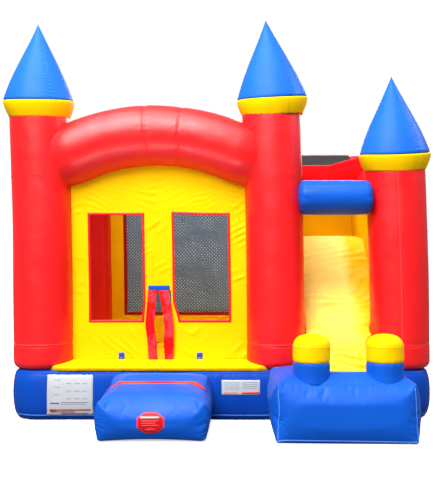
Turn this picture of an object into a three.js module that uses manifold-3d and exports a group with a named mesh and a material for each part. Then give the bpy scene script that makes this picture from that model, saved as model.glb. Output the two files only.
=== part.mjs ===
// Inflatable castle bounce house with a slide lane, fully inflated and at rest.
// Millimetres. +Z is up, +X is to the right seen from the entrance side, +Y points to the back.
// The origin is the centre of the base's footprint, on the ground.
// Coated fabric that is really about 0.5 mm thick is drawn as a 20 mm wall.

import * as THREE from "three";
import { mergeVertices } from "three/addons/utils/BufferGeometryUtils.js";
import Module from "manifold-3d";

const wasm = await Module();
wasm.setup();

// ---- driving dimensions ----
const GAP = 0.5;
const SKIN = 20;
const ROUND = 20;
const CUTTER_ROUND = 12;

const BASE = { halfX: 2165, halfY: 1465, height: 500, corner: 260, bulge: 60, underside: 12 };
const BAFFLE = { gap: 560, halfY: 1235, half: 4, tieZ: [200, 280] };
const FLOOR_TOP = BASE.height;
const DECK = FLOOR_TOP + GAP;

const COLUMN = { radius: 305, foot: 290, footHeight: 60, bore: 272, dome: 60 };
const FRONT_Y = -1130;
const BACK_Y = 1130;
const COLUMNS = {
  front_left: { x: -1870, y: FRONT_Y, top: 3120, turret: true },
  front_middle: { x: 566, y: FRONT_Y, top: 3120, turret: true },
  front_right: { x: 1870, y: FRONT_Y, top: 2560, turret: true },
  back_left: { x: -1870, y: BACK_Y, top: 3110, turret: false },
  back_right: { x: 1870, y: BACK_Y, top: 3110, turret: false },
};
const LEFT_X = COLUMNS.front_left.x;
const MIDDLE_X = COLUMNS.front_middle.x;
const RIGHT_X = COLUMNS.front_right.x;
const ROOM_X = (LEFT_X + MIDDLE_X) / 2;

const COLLAR = { height: 160, bottom: 300, top: 362, wall: 26 };
const SPIRE = { height: 825, radius: 335, lip: 40 };

const ARCH = { centreZ: 835, pathRadius: 2090, tube: 295, endAngle: 36 };
const MAIN_BEAM = { radius: 290, z: 2800 };
const SLIM_BEAM = { radius: 230, frontRightZ: 2225, crossY: 170, crossZ: 2590 };
const ROLL = { x0: 795, x1: 1600, y: FRONT_Y - 120, z: 2284, radius: 178 };

const WALL = 20;
const NET = 6;
const CANOPY = { y0: 330, z0: 2795, y1: 940, z1: 3030 };
const WINDOW = { z0: 950, z1: 2105, left: [-1407, -820], right: [-525, 85] };
const BACK_WINDOW = { x0: -1363, x1: 150, z0: 910, z1: 2350 };
const SIDE_WINDOW = { y0: -520, y1: 520, z0: 910, z1: 2200 };
const DOOR = { halfWidth: 125, z0: 575, z1: 1300, flap: 95, rim: 6, thick: 8 };

const APRON = { rear: 560, front: 517, frontY: -1432 };
const LANE = { x0: 945, x1: 1585, crestZ: 1930, runoutZ: 472, runoutY: -1633, endY: -1930 };
const DIVIDER = { x0: 705, x1: 935, top: 2350 };
const SIDE_WALL = { x0: 1600, x1: 1850 };
const PLATFORM = { x0: 860, x1: 1590, y0: 186, y1: 1070, top: 1850 };
const RAMP = { foot: 110, steps: 4, kerb: 60, inset: 10 };
const STEP = { x: -602, halfX: 542, y0: -2312, y1: -1472, height: 470 };
const LANDING = { x0: 448, x1: 1812, y0: -2325, y1: -1472, height: 550, pocketZ: 385, wall: 60 };
const POST = { radius: 171, y: -2080, z0: 552, seam: 690, top: 940, xs: [840, 1513] };

const BLOWER = {
  x: -1250, y: 2330, z: 270, drum: 205, width: 190, skin: 5, inlet: 105,
  nozzle: { halfX: 82, halfZ: 66, reach: 110 },
  foot: { halfY: 190, width: 30, height: 40 },
  shaft: 14,
  wheel: { outer: 150, inner: 118, blades: 16, plate: 8, lean: 0.6 },
  motor: { radius: 82, length: 130 },
  grille: { bars: 4, pitch: 22, thick: 5 },
};
const SLEEVE = { x: -1250, z: 190, radius: 125, y1: 2010 };
const ZIP = { x0: 400, x1: 1000, halfZ: 32, thick: 6, slider: { x: 34, y: 14, z: 26 } };
const ANCHOR = {
  ys: [-700, 1000], strap: 50, axisOut: 12, axisZ: 82, web: 8, loop: 16, tunnel: 8,
  ring: { bar: 10, thick: 8, legZ: -22, halfWidth: 38 },
};

// ---- solids and booleans ----
function dropDegenerate(index) {
  const kept = [];
  for (let i = 0; i < index.length; i += 3) {
    const [a, b, c] = [index[i], index[i + 1], index[i + 2]];
    if (a !== b && b !== c && c !== a) {
      kept.push(a, b, c);
    }
  }
  return kept;
}

function bareGeometry(geometry) {
  const bare = geometry.clone();
  bare.deleteAttribute("normal");
  bare.deleteAttribute("uv");
  const merged = mergeVertices(bare, 1e-3);
  merged.setIndex(dropDegenerate(merged.index.array));
  return merged;
}

function toSolid(geometry) {
  const bare = bareGeometry(geometry);
  return new wasm.Manifold(new wasm.Mesh({
    numProp: 3,
    vertProperties: new Float32Array(bare.attributes.position.array),
    triVerts: new Uint32Array(bare.index.array),
  }));
}

function toGeometry(solid) {
  const mesh = solid.getMesh();
  const geometry = new THREE.BufferGeometry();
  geometry.setAttribute("position", new THREE.BufferAttribute(mesh.vertProperties, 3));
  geometry.setIndex(new THREE.BufferAttribute(mesh.triVerts, 1));
  geometry.computeVertexNormals();
  return geometry;
}

function cut(solid, cutters) {
  return cutters.reduce((left, cutter) => left.subtract(cutter), solid);
}

// ---- shape helpers ----
function block(x0, x1, y0, y1, z0, z1) {
  const geometry = new THREE.BoxGeometry(x1 - x0, y1 - y0, z1 - z0);
  geometry.translate((x0 + x1) / 2, (y0 + y1) / 2, (z0 + z1) / 2);
  return geometry;
}

// A turned shape about Z. The profile runs from the bottom of the axis to its top.
function turned(profile, sides = ROUND) {
  const points = profile.map(([radius, z]) => new THREE.Vector2(radius, z));
  const geometry = new THREE.LatheGeometry(points, sides);
  geometry.rotateX(Math.PI / 2);
  return geometry;
}

function outline(points) {
  return new THREE.Shape(points.map(([u, v]) => new THREE.Vector2(u, v)));
}

// Takes an outline's own x, y and depth to Y, Z and X.
const YZ_BASIS = new THREE.Matrix4().set(0, 0, 1, 0, 1, 0, 0, 0, 0, 1, 0, 0, 0, 0, 0, 1);

// An outline in Y and Z, drawn out along X.
function prismX(shape, x0, x1) {
  const geometry = new THREE.ExtrudeGeometry(shape, { depth: x1 - x0, bevelEnabled: false });
  geometry.applyMatrix4(YZ_BASIS);
  geometry.translate(x0, 0, 0);
  return geometry;
}

// An outline in X and Z, drawn out along Y.
function prismY(shape, y0, y1, curveSegments = 12) {
  const options = { depth: y1 - y0, bevelEnabled: false, curveSegments };
  const geometry = new THREE.ExtrudeGeometry(shape, options);
  geometry.rotateX(Math.PI / 2);
  geometry.translate(0, y1, 0);
  return geometry;
}

function roundedPlate(halfX, halfY, corner) {
  const shape = new THREE.Shape();
  shape.moveTo(halfX, -halfY + corner);
  shape.absarc(halfX - corner, halfY - corner, corner, 0, Math.PI / 2);
  shape.absarc(-halfX + corner, halfY - corner, corner, Math.PI / 2, Math.PI);
  shape.absarc(-halfX + corner, -halfY + corner, corner, Math.PI, 1.5 * Math.PI);
  shape.absarc(halfX - corner, -halfY + corner, corner, 1.5 * Math.PI, 2 * Math.PI);
  return shape;
}

// A straight round tube between two points.
function tube(start, end, radius, sides = ROUND) {
  const from = new THREE.Vector3(...start);
  const to = new THREE.Vector3(...end);
  const axis = to.clone().sub(from);
  const geometry = new THREE.CylinderGeometry(radius, radius, axis.length(), sides);
  const turn = new THREE.Quaternion().setFromUnitVectors(
    new THREE.Vector3(0, 1, 0),
    axis.clone().normalize(),
  );
  geometry.applyQuaternion(turn);
  geometry.translate(...from.add(to).multiplyScalar(0.5).toArray());
  return geometry;
}

// A box whose sides and edges are rounded as inflated fabric is, flat underneath.
function cushion(x0, x1, y0, y1, z0, z1, power = 7, cells = 6) {
  const geometry = new THREE.BoxGeometry(2, 2, 2, cells, cells, cells);
  const place = geometry.attributes.position;
  for (let i = 0; i < place.count; i += 1) {
    const [x, y, z] = [place.getX(i), place.getY(i), place.getZ(i)];
    const upper = Math.max(z, 0);
    const sum = Math.abs(x) ** power + Math.abs(y) ** power + upper ** power;
    const pull = Math.max(sum, 1e-9) ** (-1 / power);
    const reach = Math.max(Math.abs(x), Math.abs(y), Math.abs(z));
    const onSide = Math.max(Math.abs(x), Math.abs(y), upper) / reach;
    const scale = onSide > 0 ? Math.min(pull * reach, 1.2) : 1;
    const flat = z <= -1 + 1e-6 ? 0.97 : 1;
    place.setXYZ(i, x * scale * flat, y * scale * flat, z > 0 ? z * scale : z);
  }
  geometry.scale((x1 - x0) / 2, (y1 - y0) / 2, (z1 - z0) / 2);
  geometry.translate((x0 + x1) / 2, (y0 + y1) / 2, (z0 + z1) / 2);
  return geometry;
}

// ---- scene graph ----
const group = new THREE.Group();

const PAINTS = {
  red: { color: 0xf5232b, roughness: 0.35 },
  yellow: { color: 0xffdf10, roughness: 0.38 },
  blue: { color: 0x1f6be6, roughness: 0.35 },
  net: { color: 0x16171a, roughness: 0.8 },
  webbing: { color: 0x1b2a52, roughness: 0.85 },
  steel: { color: 0xb8bcc0, roughness: 0.3, metalness: 1 },
  black: { color: 0x17181b, roughness: 0.5 },
  housing: { color: 0xe8c21a, roughness: 0.45 },
  grey: { color: 0x8a8f95, roughness: 0.5 },
};

function add(name, geometry, paint) {
  const material = new THREE.MeshStandardMaterial({ metalness: 0, ...PAINTS[paint] });
  const mesh = new THREE.Mesh(geometry, material);
  mesh.name = name;
  group.add(mesh);
  return mesh;
}

// ---- base ----
function baseDrum(inset, reach) {
  const half = BASE.height / 2;
  const shape = roundedPlate(
    BASE.halfX - BASE.bulge - inset,
    BASE.halfY - BASE.bulge - inset,
    BASE.corner - inset,
  );
  const geometry = new THREE.ExtrudeGeometry(shape, {
    depth: 10,
    bevelThickness: half - 5,
    bevelSize: BASE.bulge,
    bevelSegments: 3,
    curveSegments: 3,
  });
  geometry.translate(0, 0, -5);
  geometry.scale(1, 1, reach);
  geometry.translate(0, 0, half);
  return geometry;
}

function baseSheet(z0, z1) {
  const inset = BASE.bulge + SKIN + 2;
  const shape = roundedPlate(BASE.halfX - inset, BASE.halfY - inset, BASE.corner - SKIN);
  const geometry = new THREE.ExtrudeGeometry(shape, {
    depth: z1 - z0,
    bevelEnabled: false,
    curveSegments: 3,
  });
  geometry.translate(0, 0, z0);
  return geometry;
}

function addBase() {
  const skirt = toSolid(baseDrum(0, 1)).subtract(toSolid(baseDrum(SKIN, 1.02)));
  const sleeveHole = toSolid(
    tube([SLEEVE.x, BASE.halfY - 200, SLEEVE.z], [SLEEVE.x, BASE.halfY + 50, SLEEVE.z],
      SLEEVE.radius - SKIN, CUTTER_ROUND),
  );
  add("base_skirt", toGeometry(skirt.subtract(sleeveHole)), "blue");
  add("bounce_floor", baseSheet(FLOOR_TOP - SKIN, FLOOR_TOP), "yellow");
  add("base_underside", baseSheet(0, BASE.underside), "blue");
  const { gap, halfY, half, tieZ } = BAFFLE;
  const baffles = [-3, -2, -1, 0, 1, 2, 3].map((place) => toSolid(block(
    place * gap - half, place * gap + half, -halfY, halfY,
    BASE.underside + GAP, FLOOR_TOP - SKIN - GAP,
  )));
  const tie = toSolid(block(-3 * gap - half, 3 * gap + half, -half, half, ...tieZ));
  add("base_baffles", toGeometry(baffles.reduce((all, one) => all.add(one), tie)), "blue");
}

// ---- columns, collars and spires ----
function columnShape(top, grow, z0) {
  const { radius, foot, footHeight, dome } = COLUMN;
  return turned([
    [0, z0],
    [foot + grow, z0],
    [radius + grow, z0 + footHeight],
    [radius + grow, top - dome + grow],
    [radius * 0.9 + grow, top - dome * 0.3 + grow],
    [radius * 0.6, top + grow],
    [0, top + grow],
  ]);
}

function columnCutter({ x, y, top }) {
  const geometry = columnShape(top, GAP, DECK - 30);
  geometry.translate(x, y, 0);
  return toSolid(geometry);
}

const COLUMN_CUTTERS = Object.fromEntries(
  Object.entries(COLUMNS).map(([name, column]) => [name, columnCutter(column)]),
);

function addColumns() {
  for (const [name, column] of Object.entries(COLUMNS)) {
    const bore = turned([
      [0, DECK - 5],
      [COLUMN.bore, DECK - 5],
      [COLUMN.bore, column.top - COLUMN.dome - SKIN],
      [0, column.top - SKIN],
    ], CUTTER_ROUND);
    const shell = toSolid(columnShape(column.top, 0, DECK)).subtract(toSolid(bore));
    add(`column_${name}`, toGeometry(shell), "red").position.set(column.x, column.y, 0);
  }
}

function addTurrets() {
  for (const [name, column] of Object.entries(COLUMNS)) {
    if (!column.turret) {
      continue;
    }
    const z0 = column.top + GAP;
    const z1 = z0 + COLLAR.height;
    const collar = turned([
      [COLLAR.bottom - COLLAR.wall, z0],
      [COLLAR.bottom, z0],
      [(COLLAR.bottom + COLLAR.top) / 2 + 12, z0 + COLLAR.height * 0.5],
      [COLLAR.top, z1],
      [COLLAR.top - COLLAR.wall, z1],
      [COLLAR.bottom - COLLAR.wall, z0],
    ]);
    add(`collar_${name}`, collar, "yellow").position.set(column.x, column.y, 0);
    const foot = z1 + GAP;
    const cone = toSolid(turned([
      [0, foot],
      [SPIRE.radius, foot],
      [SPIRE.radius, foot + SPIRE.lip],
      [SPIRE.radius * 0.62, foot + SPIRE.height * 0.45],
      [SPIRE.radius * 0.28, foot + SPIRE.height * 0.8],
      [14, foot + SPIRE.height],
      [0, foot + SPIRE.height],
    ]));
    const hollow = toSolid(turned([
      [0, foot - 5],
      [SPIRE.radius - SKIN - 15, foot - 5],
      [SPIRE.radius * 0.5, foot + SPIRE.height * 0.4],
      [0, foot + SPIRE.height * 0.85],
    ], CUTTER_ROUND));
    add(`spire_${name}`, toGeometry(cone.subtract(hollow)), "blue")
      .position.set(column.x, column.y, 0);
  }
}

// ---- arch and beams ----
function archTube(radius, endAngle, sides = ROUND, steps = 16) {
  const points = [];
  for (let i = 0; i <= steps; i += 1) {
    const angle = THREE.MathUtils.degToRad(endAngle * (2 * i / steps - 1));
    points.push(new THREE.Vector3(
      ROOM_X + ARCH.pathRadius * Math.sin(angle),
      FRONT_Y,
      ARCH.centreZ + ARCH.pathRadius * Math.cos(angle),
    ));
  }
  const section = new THREE.Shape();
  section.absarc(0, 0, radius, 0, 2 * Math.PI);
  return new THREE.ExtrudeGeometry(section, {
    steps,
    curveSegments: sides / 2,
    bevelEnabled: false,
    extrudePath: new THREE.CatmullRomCurve3(points),
  });
}

const SPANS = {
  back_beam: {
    from: [LEFT_X, BACK_Y, MAIN_BEAM.z], to: [RIGHT_X, BACK_Y, MAIN_BEAM.z],
    radius: MAIN_BEAM.radius,
  },
  left_beam: {
    from: [LEFT_X, FRONT_Y, MAIN_BEAM.z], to: [LEFT_X, BACK_Y, MAIN_BEAM.z],
    radius: MAIN_BEAM.radius,
  },
  middle_beam: {
    from: [MIDDLE_X, FRONT_Y, MAIN_BEAM.z], to: [MIDDLE_X, BACK_Y, MAIN_BEAM.z],
    radius: SLIM_BEAM.radius,
  },
  right_beam: {
    from: [RIGHT_X, FRONT_Y, SLIM_BEAM.frontRightZ], to: [RIGHT_X, BACK_Y, MAIN_BEAM.z],
    radius: SLIM_BEAM.radius,
  },
  slide_cross_beam: {
    from: [MIDDLE_X + 60, SLIM_BEAM.crossY, SLIM_BEAM.crossZ],
    to: [RIGHT_X, SLIM_BEAM.crossY, SLIM_BEAM.crossZ],
    radius: SLIM_BEAM.radius,
  },
};

function lengthened(from, to, extra) {
  const start = new THREE.Vector3(...from);
  const end = new THREE.Vector3(...to);
  const step = end.clone().sub(start).setLength(extra);
  return [start.sub(step).toArray(), end.add(step).toArray()];
}

const SPAN_CUTTERS = Object.fromEntries(
  Object.entries(SPANS).map(([name, span]) => [
    name, toSolid(tube(span.from, span.to, span.radius + 4)),
  ]),
);
const ARCH_CUTTER = toSolid(archTube(ARCH.tube + 2, ARCH.endAngle));

function hollowSpan({ from, to, radius }) {
  const [start, end] = lengthened(from, to, 10);
  const bore = toSolid(tube(start, end, radius - SKIN, CUTTER_ROUND));
  return toSolid(tube(from, to, radius)).subtract(bore);
}

function addBeams() {
  const { front_left, front_middle, front_right, back_left, back_right } = COLUMN_CUTTERS;
  const { back_beam, middle_beam, right_beam } = SPAN_CUTTERS;
  const neighbours = {
    back_beam: [back_left, back_right],
    left_beam: [front_left, back_left, back_beam, ARCH_CUTTER],
    middle_beam: [front_middle, back_beam, ARCH_CUTTER],
    right_beam: [front_right, back_right, back_beam],
    slide_cross_beam: [middle_beam, right_beam],
  };
  for (const [name, span] of Object.entries(SPANS)) {
    add(name, toGeometry(cut(hollowSpan(span), neighbours[name])), "red");
  }
  const bore = toSolid(archTube(ARCH.tube - SKIN, ARCH.endAngle + 0.5, CUTTER_ROUND));
  const arch = cut(toSolid(archTube(ARCH.tube, ARCH.endAngle)), [bore, front_left, front_middle]);
  add("front_arch", toGeometry(arch), "red");

  const length = ROLL.x1 - ROLL.x0;
  const roll = turned([
    [0, 0],
    [ROLL.radius * 0.75, 18],
    [ROLL.radius, 75],
    [ROLL.radius, length - 75],
    [ROLL.radius * 0.75, length - 18],
    [0, length],
  ]);
  roll.rotateY(Math.PI / 2);
  roll.translate(ROLL.x0, ROLL.y, ROLL.z);
  add("header_roll", toGeometry(cut(toSolid(roll), [front_middle, front_right])), "blue");
}

// ---- walls and nets ----
function rectangle(u0, u1, v0, v1) {
  return [[u0, v0], [u1, v0], [u1, v1], [u0, v1]];
}

function sheetWithHoles(points, holes) {
  const shape = outline(points);
  for (const hole of holes) {
    shape.holes.push(new THREE.Path(hole.map(([u, v]) => new THREE.Vector2(u, v))));
  }
  return shape;
}

function frontWallOutline() {
  const reach = ARCH.pathRadius - ARCH.tube + 60;
  const halfWidth = (MIDDLE_X - LEFT_X) / 2 - 80;
  const limit = Math.asin(halfWidth / reach);
  const points = [[ROOM_X - halfWidth, DECK], [ROOM_X + halfWidth, DECK]];
  const steps = 12;
  for (let i = 0; i <= steps; i += 1) {
    const angle = limit * (1 - 2 * i / steps);
    points.push([ROOM_X + reach * Math.sin(angle), ARCH.centreZ + reach * Math.cos(angle)]);
  }
  return points;
}

function addWalls() {
  const half = WALL / 2;
  const { front_left, front_middle, front_right, back_left, back_right } = COLUMN_CUTTERS;
  const { back_beam, left_beam, middle_beam, right_beam, slide_cross_beam } = SPAN_CUTTERS;
  const door = rectangle(ROOM_X - DOOR.halfWidth, ROOM_X + DOOR.halfWidth, DOOR.z0, DOOR.z1);
  const front = prismY(sheetWithHoles(frontWallOutline(), [
    rectangle(...WINDOW.left, WINDOW.z0, WINDOW.z1),
    rectangle(...WINDOW.right, WINDOW.z0, WINDOW.z1),
    door,
  ]), FRONT_Y - half, FRONT_Y + half);
  add("front_wall", toGeometry(cut(toSolid(front), [front_left, front_middle, ARCH_CUTTER])),
    "yellow");

  const wallTop = MAIN_BEAM.z - 120;
  const sideHole = rectangle(SIDE_WINDOW.y0, SIDE_WINDOW.y1, SIDE_WINDOW.z0, SIDE_WINDOW.z1);
  const left = prismX(
    sheetWithHoles(rectangle(FRONT_Y + 80, BACK_Y - 80, DECK, wallTop), [sideHole]),
    LEFT_X - half, LEFT_X + half,
  );
  add("left_wall", toGeometry(cut(toSolid(left), [front_left, back_left, left_beam])), "yellow");

  const backHole = rectangle(BACK_WINDOW.x0, BACK_WINDOW.x1, BACK_WINDOW.z0, BACK_WINDOW.z1);
  const back = prismY(
    sheetWithHoles(rectangle(LEFT_X + 80, RIGHT_X - 80, DECK, wallTop), [backHole]),
    BACK_Y - half, BACK_Y + half,
  );
  add("back_wall", toGeometry(cut(toSolid(back), [back_left, back_right, back_beam])), "yellow");

  const rollCutter = toSolid(tube(
    [ROLL.x0 - 50, ROLL.y, ROLL.z], [ROLL.x1 + 50, ROLL.y, ROLL.z], ROLL.radius + 2,
  ));
  const divider = block(DIVIDER.x0, DIVIDER.x1, FRONT_Y, SLIM_BEAM.crossY, DECK, DIVIDER.top);
  const dividerCuts = [front_middle, rollCutter, middle_beam, slide_cross_beam];
  add("divider_wall", toGeometry(cut(toSolid(divider), dividerCuts)), "yellow");

  const slope = (MAIN_BEAM.z - SLIM_BEAM.frontRightZ) / (BACK_Y - FRONT_Y);
  const sideTop = (y) => SLIM_BEAM.frontRightZ + slope * (y - FRONT_Y) - SLIM_BEAM.radius - 6;
  const side = toSolid(prismX(outline([
    [FRONT_Y, DECK], [BACK_Y, DECK], [BACK_Y, sideTop(BACK_Y)], [FRONT_Y, sideTop(FRONT_Y)],
  ]), SIDE_WALL.x0, SIDE_WALL.x1));
  const chamber = toSolid(prismX(outline([
    [-780, DECK - 5], [780, DECK - 5],
    [780, sideTop(780) - SKIN], [-780, sideTop(-780) - SKIN],
  ]), SIDE_WALL.x0 + SKIN, SIDE_WALL.x1 - SKIN));
  const backWallCutter = toSolid(block(
    SIDE_WALL.x0 - 5, SIDE_WALL.x1 + 5, BACK_Y - half - GAP, BACK_Y + half + GAP,
    DECK - 5, wallTop + 5,
  ));
  const sideCuts = [chamber, front_right, back_right, right_beam, back_beam, backWallCutter];
  const sideWall = cut(side, sideCuts).decompose()
    .sort((one, other) => other.volume() - one.volume())[0];
  add("right_wall", toGeometry(sideWall), "yellow");
}

function addNets() {
  const edge = 1;
  const back = block(
    BACK_WINDOW.x0 + edge, BACK_WINDOW.x1 - edge, BACK_Y - NET / 2, BACK_Y + NET / 2,
    BACK_WINDOW.z0 + edge, BACK_WINDOW.z1 - edge,
  );
  add("back_net", back, "net");
  const left = block(
    LEFT_X - NET / 2, LEFT_X + NET / 2, SIDE_WINDOW.y0 + edge, SIDE_WINDOW.y1 - edge,
    SIDE_WINDOW.z0 + edge, SIDE_WINDOW.z1 - edge,
  );
  add("left_net", left, "net");
  const inset = MAIN_BEAM.radius + 6;
  const roof = block(
    LEFT_X + inset, MIDDLE_X - SLIM_BEAM.radius - 6, FRONT_Y + inset + 10, BACK_Y - inset,
    MAIN_BEAM.z - NET / 2, MAIN_BEAM.z + NET / 2,
  );
  add("roof_net", roof, "net");
  const { y0, z0, y1, z1 } = CANOPY;
  const beamGap = SLIM_BEAM.radius + 8;
  const canopy = prismX(
    outline([[y0, z0], [y1, z1], [y1, z1 + NET], [y0, z0 + NET]]),
    MIDDLE_X + beamGap, RIGHT_X - beamGap,
  );
  add("platform_net", canopy, "net");
}

// ---- entrance ----
function addEntrance() {
  const { front_left, front_middle } = COLUMN_CUTTERS;
  const wallFront = FRONT_Y - WALL / 2 - GAP;
  const apron = toSolid(prismX(outline([
    [wallFront, DECK], [wallFront, APRON.rear], [APRON.frontY, APRON.front], [APRON.frontY, DECK],
  ]), LEFT_X, MIDDLE_X));
  add("front_apron", toGeometry(cut(apron, [front_left, front_middle])), "yellow");

  const height = DOOR.z1 - DOOR.z0 - 2 * DOOR.rim;
  for (const [name, side] of [["left", -1], ["right", 1]]) {
    const flap = new THREE.BoxGeometry(DOOR.flap, DOOR.thick, height);
    const x = ROOM_X + side * (DOOR.halfWidth - DOOR.rim - DOOR.flap / 2);
    add(`entrance_flap_${name}`, flap, "red").position.set(x, FRONT_Y, (DOOR.z0 + DOOR.z1) / 2);
  }

  const step = toSolid(cushion(
    STEP.x - STEP.halfX, STEP.x + STEP.halfX, STEP.y0, STEP.y1, 0, STEP.height,
  ));
  add("entrance_step", toGeometry(step), "blue");
}

// ---- slide ----
function addSlide() {
  const crestY = SLIM_BEAM.crossY;
  const baseFront = -BASE.halfY - 25;
  const depth = 240;
  const slope = (LANE.crestZ - LANE.runoutZ) / (crestY - 60 - LANE.runoutY);
  const lineZ = (y) => LANE.runoutZ + slope * (y - LANE.runoutY);
  const clearY = LANE.runoutY + (DECK + 5 + depth - LANE.runoutZ) / slope;
  const bed = prismX(outline([
    [LANE.endY, LANDING.pocketZ + GAP],
    [baseFront, LANDING.pocketZ + GAP],
    [baseFront, DECK + 5],
    [clearY, DECK + 5],
    [crestY - 60, lineZ(crestY - 60) - depth],
    [crestY, lineZ(crestY - 60) - depth],
    [crestY, LANE.crestZ - 60],
    [crestY - 20, LANE.crestZ - 15],
    [crestY - 60, LANE.crestZ - 6],
    [crestY - 140, lineZ(crestY - 140)],
    [LANE.runoutY + 120, lineZ(LANE.runoutY + 120) + 8],
    [LANE.runoutY, LANE.runoutZ + 18],
    [LANE.runoutY - 100, LANE.runoutZ],
    [LANE.endY, LANE.runoutZ - 6],
  ]), LANE.x0, LANE.x1);
  add("slide_bed", toGeometry(cut(toSolid(bed), [COLUMN_CUTTERS.front_right])), "yellow");

  const { x0, x1, y0, y1, top } = PLATFORM;
  const deck = toSolid(block(x0, x1, y0, y1, DECK, top));
  const room = toSolid(block(
    x0 + SKIN, x1 - SKIN, y0 + SKIN, y1 - 330, DECK - 5, top - SKIN,
  ));
  const platform = cut(deck, [room, COLUMN_CUTTERS.back_right]);
  add("slide_platform", toGeometry(platform), "yellow");

  const { foot, steps, kerb, inset } = RAMP;
  const rampTop = x0 - GAP;
  const points = [[rampTop, DECK], [rampTop, top]];
  const run = rampTop - foot;
  const rise = top - DECK - kerb;
  for (let i = steps; i > 0; i -= 1) {
    const u = i / steps;
    const riser = foot + run * (u - 1 / steps) + inset;
    points.push([foot + run * u - kerb, DECK + kerb + rise * u]);
    points.push([riser, DECK + kerb + rise * (u - 0.35 / steps)]);
    points.push([riser, DECK + kerb + rise * (u - 1 / steps)]);
  }
  points.push([foot, DECK]);
  const ramp = prismY(outline(points.reverse()), y0, y1);
  add("climbing_ramp", ramp, "yellow");

  const box = toSolid(cushion(
    LANDING.x0, LANDING.x1, LANDING.y0, LANDING.y1, 0, LANDING.height, 8,
  ));
  const pocket = toSolid(block(
    LANE.x0 - 4, LANE.x1 + 4, LANE.endY - 4, LANDING.y1 + 50, LANDING.pocketZ, LANDING.height + 50,
  ));
  const hollow = toSolid(block(
    LANDING.x0 + LANDING.wall, LANDING.x1 - LANDING.wall,
    LANDING.y0 + LANDING.wall, LANDING.y1 - LANDING.wall, -5, LANDING.pocketZ - SKIN,
  ));
  add("slide_landing", toGeometry(cut(box, [pocket, hollow])), "blue");

  const names = ["left", "right"];
  POST.xs.forEach((x, i) => {
    const { radius, z0, seam, top: tip } = POST;
    const body = turned([
      [0, z0], [radius - 14, z0], [radius, z0 + 30], [radius, seam - GAP], [0, seam - GAP],
    ]);
    add(`landing_post_${names[i]}`, body, "blue").position.set(x, POST.y, 0);
    const cap = turned([
      [0, seam], [radius, seam], [radius + 4, seam + 90], [radius * 0.9, tip - 80],
      [radius * 0.62, tip - 22], [0, tip],
    ]);
    add(`landing_post_cap_${names[i]}`, cap, "yellow").position.set(x, POST.y, 0);
  });
}

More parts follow.
